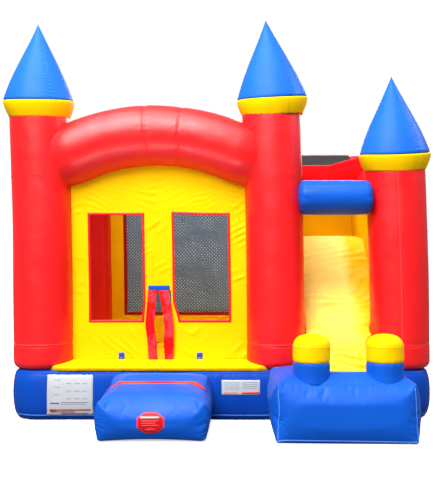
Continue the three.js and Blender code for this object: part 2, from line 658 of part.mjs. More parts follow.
// ---- air supply ----
function addBlower() {
  const rear = BASE.halfY + GAP;
  const sleeve = toSolid(tube(
    [SLEEVE.x, rear, SLEEVE.z], [SLEEVE.x, SLEEVE.y1, SLEEVE.z], SLEEVE.radius,
  )).subtract(toSolid(tube(
    [SLEEVE.x, rear - 5, SLEEVE.z], [SLEEVE.x, SLEEVE.y1 + 5, SLEEVE.z], SLEEVE.radius - 12,
  )));
  add("inflation_sleeve", toGeometry(sleeve), "blue");

  const { x, y, z, drum, width, skin, inlet, nozzle, foot, shaft, wheel, motor, grille } = BLOWER;
  const half = width / 2;
  const side = (x0, x1, radius, sides) => toSolid(tube([x0, y, z], [x1, y, z], radius, sides));
  const spout = (inset, y0) => toSolid(block(
    x - nozzle.halfX + inset, x + nozzle.halfX - inset, y0, y - 40,
    SLEEVE.z - nozzle.halfZ + inset, SLEEVE.z + nozzle.halfZ - inset,
  ));
  const leg = (x0) => toSolid(block(
    x0, x0 + foot.width, y - foot.halfY, y + foot.halfY, 0, foot.height,
  ));
  const spoutEnd = SLEEVE.y1 - nozzle.reach;
  const outer = side(x - half, x + half, drum, 32)
    .add(spout(0, spoutEnd))
    .add(toSolid(block(x - half, x + half, y - 170, y + 170, foot.height - 10, 130)))
    .add(leg(x - half))
    .add(leg(x + half - foot.width));
  const inner = side(x - half + skin, x + half + 10, drum - skin, 32)
    .add(spout(skin, spoutEnd - 10));
  const shaftHole = side(x - half - 10, x, 2 * shaft + 2, 16);
  add("blower_housing", toGeometry(cut(outer, [inner, shaftHole])), "housing");

  const bars = [];
  for (let i = -grille.bars; i <= grille.bars; i += 1) {
    const barZ = z + i * grille.pitch;
    const reach = Math.sqrt(inlet ** 2 - (i * grille.pitch) ** 2) + 4;
    bars.push(toSolid(block(
      x + half - 12, x + half - 4, y - reach, y + reach,
      barZ - grille.thick / 2, barZ + grille.thick / 2,
    )));
  }
  const plate = side(x + half - 12, x + half - 2, drum - skin - 2, 32)
    .subtract(side(x + half - 20, x + half + 4, inlet, 24));
  add("blower_cover", toGeometry(bars.reduce((all, one) => all.add(one), plate)), "black");

  const wheelX0 = x - half + 22;
  const wheelX1 = x + half - 26;
  const hub = side(wheelX0, wheelX0 + wheel.plate, wheel.outer, 32)
    .add(side(x - half - 14, wheelX0 + 60, shaft, 16))
    .add(side(wheelX1 - wheel.plate, wheelX1, wheel.outer, 32)
      .subtract(side(wheelX1 - 12, wheelX1 + 4, wheel.inner, 32)));
  const blades = [];
  for (let i = 0; i < wheel.blades; i += 1) {
    const blade = new THREE.BoxGeometry(
      wheelX1 - wheelX0 - wheel.plate, wheel.outer - wheel.inner, 4,
    );
    blade.rotateX(wheel.lean);
    blade.translate(0, (wheel.outer + wheel.inner) / 2 - 4, 0);
    blade.rotateX(2 * Math.PI * i / wheel.blades);
    blade.translate((wheelX0 + wheelX1) / 2, y, z);
    blades.push(toSolid(blade));
  }
  add("blower_impeller", toGeometry(blades.reduce((all, one) => all.add(one), hub)), "grey");

  const motorEnd = x - half - motor.length;
  const terminalBox = block(motorEnd + 30, motorEnd + 90, y - 40, y + 40, z + 70, z + 125);
  const switchSlot = block(motorEnd + 46, motorEnd + 74, y - 16, y + 16, z + 105, z + 130);
  const drive = side(motorEnd, x - half - 1, motor.radius, 24)
    .add(toSolid(terminalBox))
    .subtract(side(x - half - 30, x - half + 5, shaft + 6, 16))
    .subtract(toSolid(switchSlot));
  add("blower_motor", toGeometry(drive), "black");

  const rocker = prismX(outline([[-13, -8], [13, -8], [13, 3], [0, 7], [-13, 3]]), -11, 11);
  add("rocker_switch", rocker, "black").position.set(motorEnd + 60, y, z + 121);

  const lying = 12;
  const cordPath = new THREE.CatmullRomCurve3([
    new THREE.Vector3(motorEnd - 8, y + 20, z),
    new THREE.Vector3(motorEnd - 80, y + 20, z - 60),
    new THREE.Vector3(motorEnd - 110, y - 10, 40),
    new THREE.Vector3(motorEnd - 130, y - 120, lying),
    new THREE.Vector3(motorEnd - 290, y - 200, lying),
    new THREE.Vector3(motorEnd - 490, y - 120, lying),
  ]);
  const wire = new THREE.Shape();
  wire.absarc(0, 0, 7, 0, 2 * Math.PI);
  add("power_cord", new THREE.ExtrudeGeometry(wire, {
    steps: 24, curveSegments: 4, bevelEnabled: false, extrudePath: cordPath,
  }), "black");
}

// ---- deflation zip and ground anchors ----
function addZip() {
  const { x0, x1, halfZ, thick, slider } = ZIP;
  const y = BASE.halfY + 2;
  const z = BASE.height / 2;
  add("zip_tape", block(x0, x1, y, y + thick, z - halfZ, z + halfZ), "webbing");
  const runner = new THREE.BoxGeometry(slider.x, slider.y, slider.z);
  add("zip_slider", runner, "steel").position.set(x0 + 45, y + thick + GAP + slider.y / 2, z);
}

// A D-shaped steel ring in the Y-Z plane. Its straight bar lies on the hinge axis, at the origin.
function dRing() {
  const { bar, thick, legZ, halfWidth } = ANCHOR.ring;
  const loop = (half, top) => {
    const shape = new THREE.Shape();
    shape.moveTo(-half, legZ);
    shape.absarc(0, legZ, half, Math.PI, 2 * Math.PI);
    shape.lineTo(half, top);
    shape.lineTo(-half, top);
    return shape;
  };
  const shape = loop(halfWidth, bar / 2);
  shape.holes.push(new THREE.Path(loop(halfWidth - bar, -bar / 2).getPoints(6)));
  const geometry = new THREE.ExtrudeGeometry(shape, {
    depth: thick, bevelEnabled: false, curveSegments: 6,
  });
  geometry.translate(0, 0, -thick / 2);
  geometry.applyMatrix4(YZ_BASIS);
  return geometry;
}

function addAnchors() {
  const { ys, strap, axisOut, axisZ, web, loop, tunnel } = ANCHOR;
  for (const [sideName, side] of [["left", -1], ["right", 1]]) {
    const face = side * (BASE.halfX + 1);
    const axisX = face + side * axisOut;
    ys.forEach((y, i) => {
      const place = `${sideName}_${i === 0 ? "front" : "back"}`;
      const inner = Math.min(face, face + side * web);
      const band = toSolid(block(inner, inner + web, y - strap / 2, y + strap / 2, axisZ, 250));
      const across = (radius, reach) => toSolid(
        tube([axisX, y - reach, axisZ], [axisX, y + reach, axisZ], radius, 16),
      );
      const sling = band.add(across(loop, strap / 2)).subtract(across(tunnel, strap));
      add(`anchor_strap_${place}`, toGeometry(sling), "webbing");
      add(`anchor_ring_${place}`, dRing(), "steel").position.set(axisX, y, axisZ);
    });
  }
}

addBase();
addColumns();
addTurrets();
addBeams();
addWalls();
addNets();
addEntrance();
addSlide();
addBlower();
addZip();
addAnchors();

export default group;
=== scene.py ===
"""Castle bounce house with a slide lane: the looks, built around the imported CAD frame.

Metres, +Z up, +X to the right seen from the entrance side, +Y towards the back.
"""

import math

import bmesh
import bpy
import numpy as np
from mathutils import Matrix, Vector
from mathutils.bvhtree import BVHTree


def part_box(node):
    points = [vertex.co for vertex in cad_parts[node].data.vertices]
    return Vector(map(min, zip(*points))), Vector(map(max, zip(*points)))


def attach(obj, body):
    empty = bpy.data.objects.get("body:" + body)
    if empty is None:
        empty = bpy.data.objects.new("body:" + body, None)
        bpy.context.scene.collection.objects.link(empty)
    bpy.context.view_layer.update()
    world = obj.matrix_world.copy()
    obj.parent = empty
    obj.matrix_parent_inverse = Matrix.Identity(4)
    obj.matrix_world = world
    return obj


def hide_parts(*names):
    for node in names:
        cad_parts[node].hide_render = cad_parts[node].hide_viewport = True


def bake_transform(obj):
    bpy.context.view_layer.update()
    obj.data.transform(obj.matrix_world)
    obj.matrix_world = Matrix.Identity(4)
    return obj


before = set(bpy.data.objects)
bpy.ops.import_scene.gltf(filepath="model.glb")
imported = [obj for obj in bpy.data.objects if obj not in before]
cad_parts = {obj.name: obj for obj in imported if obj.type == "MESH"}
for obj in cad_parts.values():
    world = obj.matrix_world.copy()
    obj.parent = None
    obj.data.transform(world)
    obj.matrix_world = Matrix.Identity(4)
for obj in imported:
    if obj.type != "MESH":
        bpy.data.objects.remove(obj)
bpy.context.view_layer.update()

TAU = 2 * math.pi
ROOT = "inflatable"


# ---------------------------------------------------------------- places from the frame
def box(node):
    low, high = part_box(node)
    return np.array(low), np.array(high)


def centre(node):
    low, high = box(node)
    return (low + high) / 2


def half_width(node):
    low, high = box(node)
    return (high[0] - low[0]) / 2


FRONT_LEFT = centre("column_front_left")
FRONT_MIDDLE = centre("column_front_middle")
BACK_LEFT = centre("column_back_left")
BACK_RIGHT = centre("column_back_right")
FRONT_Y = FRONT_LEFT[1]
BACK_Y = BACK_LEFT[1]
COLUMN_R = half_width("column_front_left")
BEAM_R = half_width("left_beam")
SLIM_BEAM_R = half_width("middle_beam")
ROOM_X = (FRONT_LEFT[0] + FRONT_MIDDLE[0]) / 2


# ---------------------------------------------------------------- materials
def linear(colour):
    """A scene-linear colour from one given as three steps of 0 to 255."""
    steps = [value / 255 for value in colour]
    return (*(s / 12.92 if s <= 0.04045 else ((s + 0.055) / 1.055) ** 2.4 for s in steps), 1.0)


# a wave texture of scale 1 repeats once in this many metres
WAVE_REPEAT = 0.314


class Graph:
    """A material's node tree, with short ways to add and join nodes."""

    def __init__(self, name):
        self.material = bpy.data.materials.new(name)
        self.material.use_nodes = True
        self.tree = self.material.node_tree
        self.shader = self.tree.nodes["Principled BSDF"]

    def add(self, kind, inputs=None, **settings):
        node = self.tree.nodes.new(kind)
        for key, value in settings.items():
            setattr(node, key, value)
        for key, value in (inputs or {}).items():
            self.put(node.inputs[key], value)
        return node

    def put(self, socket, value):
        if isinstance(value, bpy.types.NodeSocket):
            self.tree.links.new(value, socket)
        else:
            socket.default_value = value

    def shade(self, **inputs):
        for key, value in inputs.items():
            self.put(self.shader.inputs[key.replace("_", " ")], value)

    def place(self):
        return self.add("ShaderNodeTexCoord").outputs["Object"]

    def noise(self, place, scale, detail=3.0, rough=0.5):
        inputs = {"Vector": place, "Scale": scale, "Detail": detail, "Roughness": rough}
        return self.add("ShaderNodeTexNoise", inputs).outputs["Fac"]

    def weave(self, place, pitch):
        """Crossed sets of threads, pitch metres apart."""
        inputs = {"Vector": place, "Scale": WAVE_REPEAT / pitch}
        threads = [
            self.add("ShaderNodeTexWave", inputs, bands_direction=axis).outputs["Fac"]
            for axis in "XYZ"
        ]
        return self.math("MAXIMUM", self.math("MAXIMUM", threads[0], threads[1]), threads[2])

    def math(self, operation, one, two):
        return self.add("ShaderNodeMath", {0: one, 1: two}, operation=operation).outputs[0]

    def mix(self, factor, one, two):
        node = self.add("ShaderNodeMix", {"Factor": factor}, data_type="RGBA")
        colours = [socket for socket in node.inputs if socket.type == "RGBA"]
        for socket, value in zip(colours, (one, two)):
            self.put(socket, value)
        return [socket for socket in node.outputs if socket.type == "RGBA"][0]

    def spread(self, value, low, high, to_low, to_high):
        """Maps low to high onto to_low to to_high, and keeps the result between them."""
        node = self.add("ShaderNodeMapRange", {
            "Value": value, "From Min": low, "From Max": high,
            "To Min": to_low, "To Max": to_high,
        })
        return node.outputs["Result"]

    def bump(self, height, strength, distance, under=None):
        """A bump, on top of the bump under it where one is given."""
        inputs = {"Height": height, "Strength": strength, "Distance": distance}
        if under is not None:
            inputs["Normal"] = under
        return self.add("ShaderNodeBump", inputs).outputs["Normal"]

    def done(self):
        return self.material


SCRIM = 0.004


def vinyl(name, colour, deep, gloss=0.3, shine=0.22, coat=0.06):
    """Coated fabric: a woven scrim under a smooth coat, with faint scuffs and panel tone.

    gloss is the least roughness, shine the strength of reflections, coat that of a clear coat.
    """
    graph = Graph(name)
    place = graph.place()
    tone = graph.spread(graph.noise(place, 1.3, 4.0), 0.35, 0.7, 0.0, 0.55)
    base = graph.mix(tone, linear(colour), linear(deep))
    grime = graph.spread(graph.noise(place, 17.0, 5.0, 0.65), 0.55, 0.8, 0.0, 0.18)
    base = graph.mix(grime, base, linear(deep))
    scrim = graph.weave(place, SCRIM)
    rough = graph.spread(graph.noise(place, 6.0, 4.0), 0.3, 0.7, gloss, gloss + 0.14)
    skin = graph.bump(graph.noise(place, 9.0, 3.0), 0.25, 0.01)
    normal = graph.bump(scrim, 0.12, 0.0006, skin)
    graph.shade(Base_Color=base, Roughness=rough, Normal=normal, Specular_IOR_Level=shine)
    graph.shade(Coat_Weight=coat, Coat_Roughness=0.25)
    return graph.done()


def plain_cloth(name, colour, deep, pitch=0.002):
    """Uncoated woven goods, such as webbing and netting."""
    graph = Graph(name)
    place = graph.place()
    threads = graph.weave(place, pitch)
    shade = graph.spread(threads, 0.2, 1.0, 0.0, 1.0)
    base = graph.mix(shade, linear(deep), linear(colour))
    fuzz = graph.noise(place, 220.0, 2.0)
    normal = graph.bump(fuzz, 0.3, 0.0006, graph.bump(threads, 0.6, 0.0008))
    graph.shade(Base_Color=base, Roughness=0.85, Normal=normal)
    return graph.done()


def hard(name, colour, deep, rough=0.45, metal=0.0):
    """Moulded plastic or metal, with a fine grain and patches of wear."""
    graph = Graph(name)
    place = graph.place()
    wear = graph.spread(graph.noise(place, 14.0, 6.0, 0.7), 0.45, 0.75, 0.0, 0.6)
    base = graph.mix(wear, linear(colour), linear(deep))
    texture = graph.noise(place, 300.0, 3.0)
    level = graph.spread(graph.noise(place, 25.0, 4.0), 0.3, 0.7, rough - 0.08, rough + 0.12)
    graph.shade(Base_Color=base, Roughness=level, Metallic=metal)
    graph.shade(Normal=graph.bump(texture, 0.25, 0.0008))
    return graph.done()


RED = vinyl("red_vinyl", (240, 20, 26), (222, 11, 15), 0.32, 0.45)
YELLOW = vinyl("yellow_vinyl", (250, 203, 0), (243, 186, 0), 0.6, 0.05, 0.0)
BLUE = vinyl("blue_vinyl", (3, 86, 196), (1, 70, 176), 0.42, 0.17, 0.05)
# painted shade: a darker copy of the blue vinyl for the base skirt, which sits back in the shade
# of the apron, step and landing
SHADED_BASE_BLUE = vinyl("shaded_base_vinyl", (2, 68, 172), (1, 54, 152), 0.42, 0.12, 0.04)
SPIRE_BLUE = vinyl("spire_vinyl", (22, 96, 206), (14, 86, 196), 0.40, 0.12, 0.0)
CANOPY_RED = vinyl("canopy_red", (222, 5, 9), (206, 3, 7), 0.6, 0.04, 0.0)


def slide_vinyl():
    """Slide vinyl with a painted highlight: paler high up and away from its right edge, with
    random patches.
    """
    graph = Graph("slide_vinyl")
    place = graph.place()
    split = graph.add("ShaderNodeSeparateXYZ", {"Vector": place})
    high_up = graph.spread(split.outputs["Z"], 0.55, 1.5, 0.1, 1.0)
    inside = graph.spread(split.outputs["X"], 1.37, 1.49, 1.0, 0.1)
    # painted highlight: the colour turns paler high up the bed and in the middle of the lane, for
    # light on the upper slope and gloss
    highlight_and_tone = graph.math("MULTIPLY", high_up, inside)
    patch = graph.spread(graph.noise(place, 7.0, 4.0), 0.3, 0.7, -0.12, 0.12)
    highlight_and_tone = graph.math("ADD", highlight_and_tone, patch)
    base = graph.mix(highlight_and_tone, linear((248, 196, 10)), linear((252, 238, 128)))
    height = graph.noise(place, 26.0, 2.0)
    graph.shade(Base_Color=base, Roughness=0.42, Specular_IOR_Level=0.15)
    graph.shade(Normal=graph.bump(height, 0.10, 0.003))
    return graph.done()


SLIDE_YELLOW = slide_vinyl()
RED_SEAM = vinyl("red_seam", (246, 66, 70), (236, 44, 50))
YELLOW_SEAM = vinyl("yellow_seam", (250, 200, 60), (244, 180, 30))
# painted highlight: the blue seam tapes are paler than the blue vinyl, for light caught along the
# raised seams
HIGHLIT_BLUE_SEAM = vinyl("highlit_blue_seam", (84, 138, 226), (50, 108, 214))
WHITE = vinyl("white_vinyl", (188, 190, 194), (172, 175, 180), 0.4)
GREY_INK = vinyl("grey_ink", (150, 158, 170), (128, 138, 152), 0.5)
DARK_RED = vinyl("dark_red_vinyl", (170, 12, 18), (140, 6, 10), 0.4, 0.1)
SIGN_RED = vinyl("sign_red", (206, 10, 24), (180, 6, 16), 0.4)


def blotched(name, colour, deep):
    """Thin vinyl that lets light through in some places and lies double in others."""
    graph = Graph(name)
    place = graph.place()
    patch = graph.spread(graph.noise(place, 9.0, 2.0), 0.44, 0.56, 0.0, 1.0)
    base = graph.mix(patch, linear(colour), linear(deep))
    graph.shade(Base_Color=base, Roughness=0.45, Specular_IOR_Level=0.2)
    graph.shade(Normal=graph.bump(graph.weave(place, SCRIM), 0.12, 0.0006))
    return graph.done()


FLAP_RED = blotched("flap_red", (240, 52, 66), (216, 8, 16))
NETTING = plain_cloth("netting", (104, 134, 156), (80, 104, 120), 0.003)
CANOPY_NET = plain_cloth("canopy_netting", (34, 34, 36), (14, 15, 17), 0.003)
WEBBING = plain_cloth("webbing", (40, 62, 120), (18, 30, 66))
STITCH = plain_cloth("stitch_thread", (232, 232, 226), (190, 190, 186))
STEEL = hard("steel", (196, 198, 202), (150, 152, 156), 0.32, 1.0)
CASING = hard("casing", (240, 196, 26), (220, 170, 14))
BLACK = hard("black_plastic", (34, 35, 38), (20, 21, 23), 0.5)
GREY = hard("grey_plastic", (146, 150, 156), (120, 124, 130))


# ---------------------------------------------------------------- shape functions
WAVE_COUNT = 7


def waves(points, size, seed):
    """Smooth noise of about unit height, with features about size metres across."""
    rng = np.random.default_rng(seed)
    total = np.zeros(points.shape[:-1])
    for _ in range(WAVE_COUNT):
        direction = unit(rng.normal(size=3))
        rate = TAU / size * rng.uniform(0.6, 1.5)
        total += np.sin(points @ direction * rate + rng.uniform(0, TAU))
    return total / math.sqrt(WAVE_COUNT)


def folds(phase, sharp=1.6):
    """Rounded ridges with narrow valleys, one for each whole step of phase, from 0 to 1."""
    return np.abs(np.sin(math.pi * phase)) ** (1 / sharp)


def creases(phase, sharp=3.0):
    """Narrow raised creases, one for each whole step of phase, from 0 to 1."""
    return (1 - np.abs(np.sin(math.pi * phase))) ** sharp


def bell(distance, width):
    return np.exp(-((distance / width) ** 2))


def patches(points, size, seed, floor, gain, cap):
    """Where an effect shows: smooth noise times gain, above floor, kept from 0 to cap."""
    return np.clip(floor + gain * waves(points, size, seed), 0, cap)


def ease(value, low, high):
    t = np.clip((value - low) / (high - low), 0, 1)
    return t * t * (3 - 2 * t)


def rounded(t, power=2):
    """How far a rounded edge falls short of full size, 1 at t = 0 and 0 from t = 1 on."""
    return 1 - np.sqrt(1 - (1 - np.clip(t, 0, 1)) ** power)


def unit(vectors):
    return vectors / (np.linalg.norm(vectors, axis=-1, keepdims=True) + 1e-12)


def lattice(first, second):
    """Two grids from two lists of places. The first list runs along the grids' first axis."""
    return np.meshgrid(first, second, indexing="ij")


def on_wall(u, z):
    """Points for noise on an upright sheet."""
    return np.stack([u, np.zeros_like(u), z], axis=-1)


def on_floor(x, y):
    """Points for noise on a level sheet."""
    return np.stack([x, y, np.zeros_like(x)], axis=-1)


def turns(around):
    """Angles of the points of a ring."""
    return np.arange(around) / around * TAU


def off_seam(angle, seam):
    """The turn from a seam to each angle, from -pi to pi."""
    return (angle - seam + math.pi) % TAU - math.pi


def on_tube(angle, radius, heights):
    """Points for noise on an upright tube. radius is one value or one for each height."""
    across = np.sin(angle)[None] * radius
    ahead = np.cos(angle)[None] * radius
    return np.stack(np.broadcast_arrays(across, ahead, heights[:, None]), axis=-1)


def off_line(place, pitch):
    """The distance from the nearest of many lines that stand pitch apart."""
    return np.abs(place / pitch - np.round(place / pitch)) * pitch


def path_length(points):
    """The length of a path up to each of its points."""
    return np.concatenate([[0], np.cumsum(np.linalg.norm(np.diff(points, axis=0), axis=1))])


def smooth_line(values):
    """A running mean over nine values, without the four at each end."""
    return np.convolve(values, np.ones(9) / 9, "valid")


def closed_loop(points):
    return np.concatenate([points, points[:1]])


LEAN = 0.0085
LEAN_FROM = 0.8
RIGHT_LEAN = 0.014
LEFT_TIP = 0.030


def lean(points):
    """The castle leans a little to the left as it rises, the right tower most of all."""
    points = np.array(points, float)
    x, z = points[..., 0].copy(), points[..., 2]
    rise = np.maximum(z - LEAN_FROM, 0)
    points[..., 0] -= LEAN * rise ** 2 + RIGHT_LEAN * rise * ease(x, 1.2, 1.6)
    points[..., 0] += LEFT_TIP * ease(z, 3.2, 4.1) * ease(-x, 1.0, 1.4)
    return points


# ---------------------------------------------------------------- mesh builders
def piece(name, verts, faces, material, body=ROOT, nodes=(), smooth=True):
    """A mesh that rides on a body, or on none when no body is given."""
    mesh = bpy.data.meshes.new(name)
    mesh.from_pydata([tuple(v) for v in lean(verts)], [], [tuple(f) for f in faces])
    work = bmesh.new()
    work.from_mesh(mesh)
    bmesh.ops.recalc_face_normals(work, faces=work.faces)
    work.to_mesh(mesh)
    work.free()
    for polygon in mesh.polygons:
        polygon.use_smooth = smooth
    mesh.materials.append(material)
    obj = bpy.data.objects.new(name, mesh)
    bpy.context.scene.collection.objects.link(obj)
    if body:
        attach(obj, body)
    if nodes:
        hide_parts(*nodes)
    return obj


def ring_faces(rows, around, closed):
    faces = []
    last = rows if closed else rows - 1
    for j in range(last):
        a, b = j * around, (j + 1) % rows * around
        for i in range(around):
            k = (i + 1) % around
            faces.append((a + i, a + k, b + k, b + i))
    return faces


def loft(name, rings, material, closed=False, **extra):
    """A skin over rings of points, shape (rows, around, 3). Open ends are closed with a fan."""
    rows, around = rings.shape[:2]
    verts = list(rings.reshape(-1, 3))
    faces = ring_faces(rows, around, closed)
    if not closed:
        for row, start in ((0, 0), (rows - 1, (rows - 1) * around)):
            verts.append(rings[row].mean(axis=0))
            hub = len(verts) - 1
            faces += [(start + i, start + (i + 1) % around, hub) for i in range(around)]
    return piece(name, verts, faces, material, **extra)


def turn_rings(middle, radii, heights, around):
    """Rings about a vertical axis. radii is (rows, around) or (rows,)."""
    angle = turns(around)
    radii = np.broadcast_to(np.asarray(radii).reshape(len(heights), -1), (len(heights), around))
    rings = np.empty((len(heights), around, 3))
    rings[..., 0] = middle[0] + radii * np.sin(angle)
    rings[..., 1] = middle[1] - radii * np.cos(angle)
    rings[..., 2] = np.asarray(heights).reshape(len(heights), -1)
    return rings


def path_rings(points, radii, around, up=(0, 0, 1)):
    """Rings along a path of points (rows, 3). Angle 0 is on the up side."""
    points = np.asarray(points, float)
    tangent = unit(np.gradient(points, axis=0))
    side = unit(np.cross(tangent, np.asarray(up, float)))
    top = np.cross(side, tangent)
    angle = turns(around)
    radii = np.asarray(radii, float).reshape(len(points), -1)
    along_top = (radii * np.cos(angle))[..., None] * top[:, None]
    along_side = (radii * np.sin(angle))[..., None] * side[:, None]
    return points[:, None] + along_top + along_side


def shell(name, front, thickness, material, kept=None, **extra):
    """A sheet with thickness from a grid of points (m, n, 3).

    kept (m-1, n-1) marks the cells to make, and all are made where it is not given.
    """
    m, n = front.shape[:2]
    if kept is None:
        kept = np.ones((m - 1, n - 1), bool)
    index = np.arange(m * n).reshape(m, n)
    back = front + np.asarray(thickness)
    verts = np.concatenate([front.reshape(-1, 3), back.reshape(-1, 3)])
    offset = m * n
    faces = []
    padded = np.pad(kept, 1)
    for i, j in np.argwhere(kept):
        a, b, c, d = index[i, j], index[i + 1, j], index[i + 1, j + 1], index[i, j + 1]
        faces.append((a, b, c, d))
        faces.append((d + offset, c + offset, b + offset, a + offset))
        edges = (
            (padded[i, j + 1], a, d), (padded[i + 2, j + 1], b, c),
            (padded[i + 1, j], a, b), (padded[i + 1, j + 2], d, c),
        )
        for neighbour, one, two in edges:
            if not neighbour:
                faces.append((one, two, two + offset, one + offset))
    used = sorted({v for face in faces for v in face})
    renumber = {old: new for new, old in enumerate(used)}
    faces = [tuple(renumber[v] for v in face) for face in faces]
    return piece(name, verts[used], faces, material, **extra)


TAPE_OUTLINE = (
    (-0.5, -0.8), (-0.5, 0.35), (-0.3, 0.9), (0, 1), (0.3, 0.9), (0.5, 0.35), (0.5, -0.8),
)


def ribbon(name, points, normals, width, height, material, **extra):
    """A low raised tape along a path that lies on a surface with the given normals."""
    points, normals = np.asarray(points, float), np.asarray(normals, float)
    side = unit(np.cross(unit(np.gradient(points, axis=0)), normals))
    rings = np.stack([
        points + side * width * across + normals * height * rise
        for across, rise in TAPE_OUTLINE
    ], axis=1)
    return loft(name, rings, material, **extra)


def breaks(values, step):
    """A rising list of places that includes every given value, at most step apart."""
    places = [values[0]]
    for low, high in zip(values, values[1:]):
        count = max(1, math.ceil((high - low) / step))
        places += list(low + (high - low) * np.arange(1, count + 1) / count)
    return np.array(places)


def tube_surface_path(rings, row=None, column=None, lift=0.0):
    """Points and outward normals along one row or column of a loft's rings."""
    outward = unit(rings - rings.mean(axis=1, keepdims=True))
    if row is not None:
        points, normals = closed_loop(rings[row]), closed_loop(outward[row])
    else:
        points, normals = rings[:, column], outward[:, column]
    return points + normals * lift, normals


def nearest(values, value):
    return int(np.argmin(abs(values - value)))


# ---------------------------------------------------------------- columns
COLUMN_SIDES = 128
HOOP_Z = 0.755
# panel seams, noise seed, depth of the rounded top, and how far it stands above the CAD's top
COLUMNS = {
    "front_left": ((2.3, 4.1), 11, 0.008, 0.05),
    "front_middle": ((2.2, 4.2), 23, 0.008, 0.05),
    "front_right": ((-0.13 % TAU, 2.4, 4.3), 37, 0.008, 0.05),
    "back_left": ((0.9, 3.3, 5.3), 41, 0.16, 0.0),
    "back_right": ((1.0, 3.0, 5.2), 53, 0.16, -0.06),
}


def column_rings(node, panel_seams, seed, dome, raised):
    """An inflated tube: rounded foot and top, pinched at its seams, gathered beside them."""
    low, high = box(node)
    top = high[2] + raised
    heights = breaks([low[2], low[2] + 0.09, top - 0.14, top], 0.013)
    z, theta = lattice(heights, turns(COLUMN_SIDES))
    around = np.stack([np.sin(theta) * COLUMN_R, -np.cos(theta) * COLUMN_R, z], axis=-1)
    radius = COLUMN_R - 0.075 * rounded((z - low[2]) / 0.085) - dome * rounded((top - z) / dome)
    radius += waves(around, 1.3, seed) * 0.0022
    radius += waves(around * (1, 1, 2.2), 0.30, seed + 1) * 0.0003
    # the hoop seam, and the loose skirt below it
    gap = z - HOOP_Z - 0.006 * np.sin(theta * 2 + seed)
    pleat = folds(theta * 10 + 1.5 * waves(around, 0.5, seed + 2))
    radius -= 0.007 * bell(gap, 0.010) + 0.0045 * bell(gap, 0.055) * (1 - pleat)
    skirt = ease(-gap, 0.0, 0.03) * ease(z, low[2] + 0.02, low[2] + 0.1)
    ripple = creases(z / 0.052 + 1.1 * waves(around * (0.6, 0.6, 1), 0.45, seed + 3))
    radius += 0.0035 * skirt * ripple * (0.5 + 0.5 * waves(around, 0.3, seed + 4))
    # the foot, the head, and the pull of the beams below the head
    foot_pleat = folds(theta * 12 + 2 * waves(around, 0.6, seed + 5))
    radius -= 0.010 * bell(z - low[2], 0.07) * (1 - foot_pleat)
    head_pleat = folds(theta * 14 + 2 * waves(around, 0.5, seed + 6))
    radius -= 0.006 * bell(top - z, 0.09) * (1 - head_pleat)
    tug = bell(z - (top - 0.68), 0.075) * patches(around, 0.35, seed + 9, 0, 1, 1)
    radius += 0.006 * tug * creases(z / 0.032 + 0.8 * waves(around * (1, 1, 0.3), 0.4, seed + 10))
    line = z / 0.034 + 0.7 * waves(around * (0.4, 0.4, 1), 0.3, seed + 7)
    patch = patches(around * (0, 0, 1), 0.55, seed + 8, 0.5, 0.8, 1.2)
    for seam in panel_seams:
        arc = off_seam(theta, seam) * COLUMN_R
        radius -= 0.004 * bell(arc, 0.008)
        radius += 0.0020 * bell(arc, 0.075) * creases(line, 2.0) * patch
    return turn_rings((low + high) / 2, radius, heights, COLUMN_SIDES), heights


def add_columns():
    for place, (panel_seams, seed, dome, raised) in COLUMNS.items():
        node = f"column_{place}"
        rings, heights = column_rings(node, panel_seams, seed, dome, raised)
        loft(f"{node}_skin", rings, RED, nodes=[node])
        points, normals = tube_surface_path(rings, row=nearest(heights, HOOP_Z), lift=0.001)
        ribbon(f"{node}_hoop_seam", points, normals, 0.011, 0.0022, RED_SEAM)
        for number, seam in enumerate(panel_seams):
            column = round(seam / TAU * COLUMN_SIDES) % COLUMN_SIDES
            points, normals = tube_surface_path(rings[4:-4], column=column, lift=0.001)
            ribbon(f"{node}_seam_{number}", points, normals, 0.009, 0.0018, RED_SEAM)


# ---------------------------------------------------------------- collars and spires
DROOP = 0.058
# slope and growth across, then how far it is raised and shifted, then how far its tip moves
# sideways and up
TURRET_POSE = {
    "front_left": (0.0, 1.0, 0.0, 0.0, 0.0, -0.010),
    "front_middle": (0.057, 1.025, 0.024, 0.016, -0.028, 0.010),
    "front_right": (0.037, 1.025, 0.010, 0.0, 0.012, -0.008),
}
COLLAR_SIDES = 112
SPIRE_SIDES = 128


def sit(rings, place, amount):
    """Sets a turret piece on its column: tilted, and its soft front edge hanging lower."""
    tilt, grow, raised, shift, tip_across, tip_up = TURRET_POSE[place]
    low, high = box(f"spire_{place}")
    middle = (low + high) / 2
    across = rings[..., 0] - middle[0]
    front = (middle[1] - rings[..., 1]) / np.hypot(across, rings[..., 1] - middle[1])
    up = np.clip((rings[..., 2] - low[2]) / (high[2] - low[2]), 0, 1)
    rings[..., 2] += raised + tilt * across + tip_up * up
    rings[..., 2] -= amount * np.clip(front, 0, 1) ** 1.3
    rings[..., 0] = middle[0] + across * grow + shift + tip_across * up
    return rings


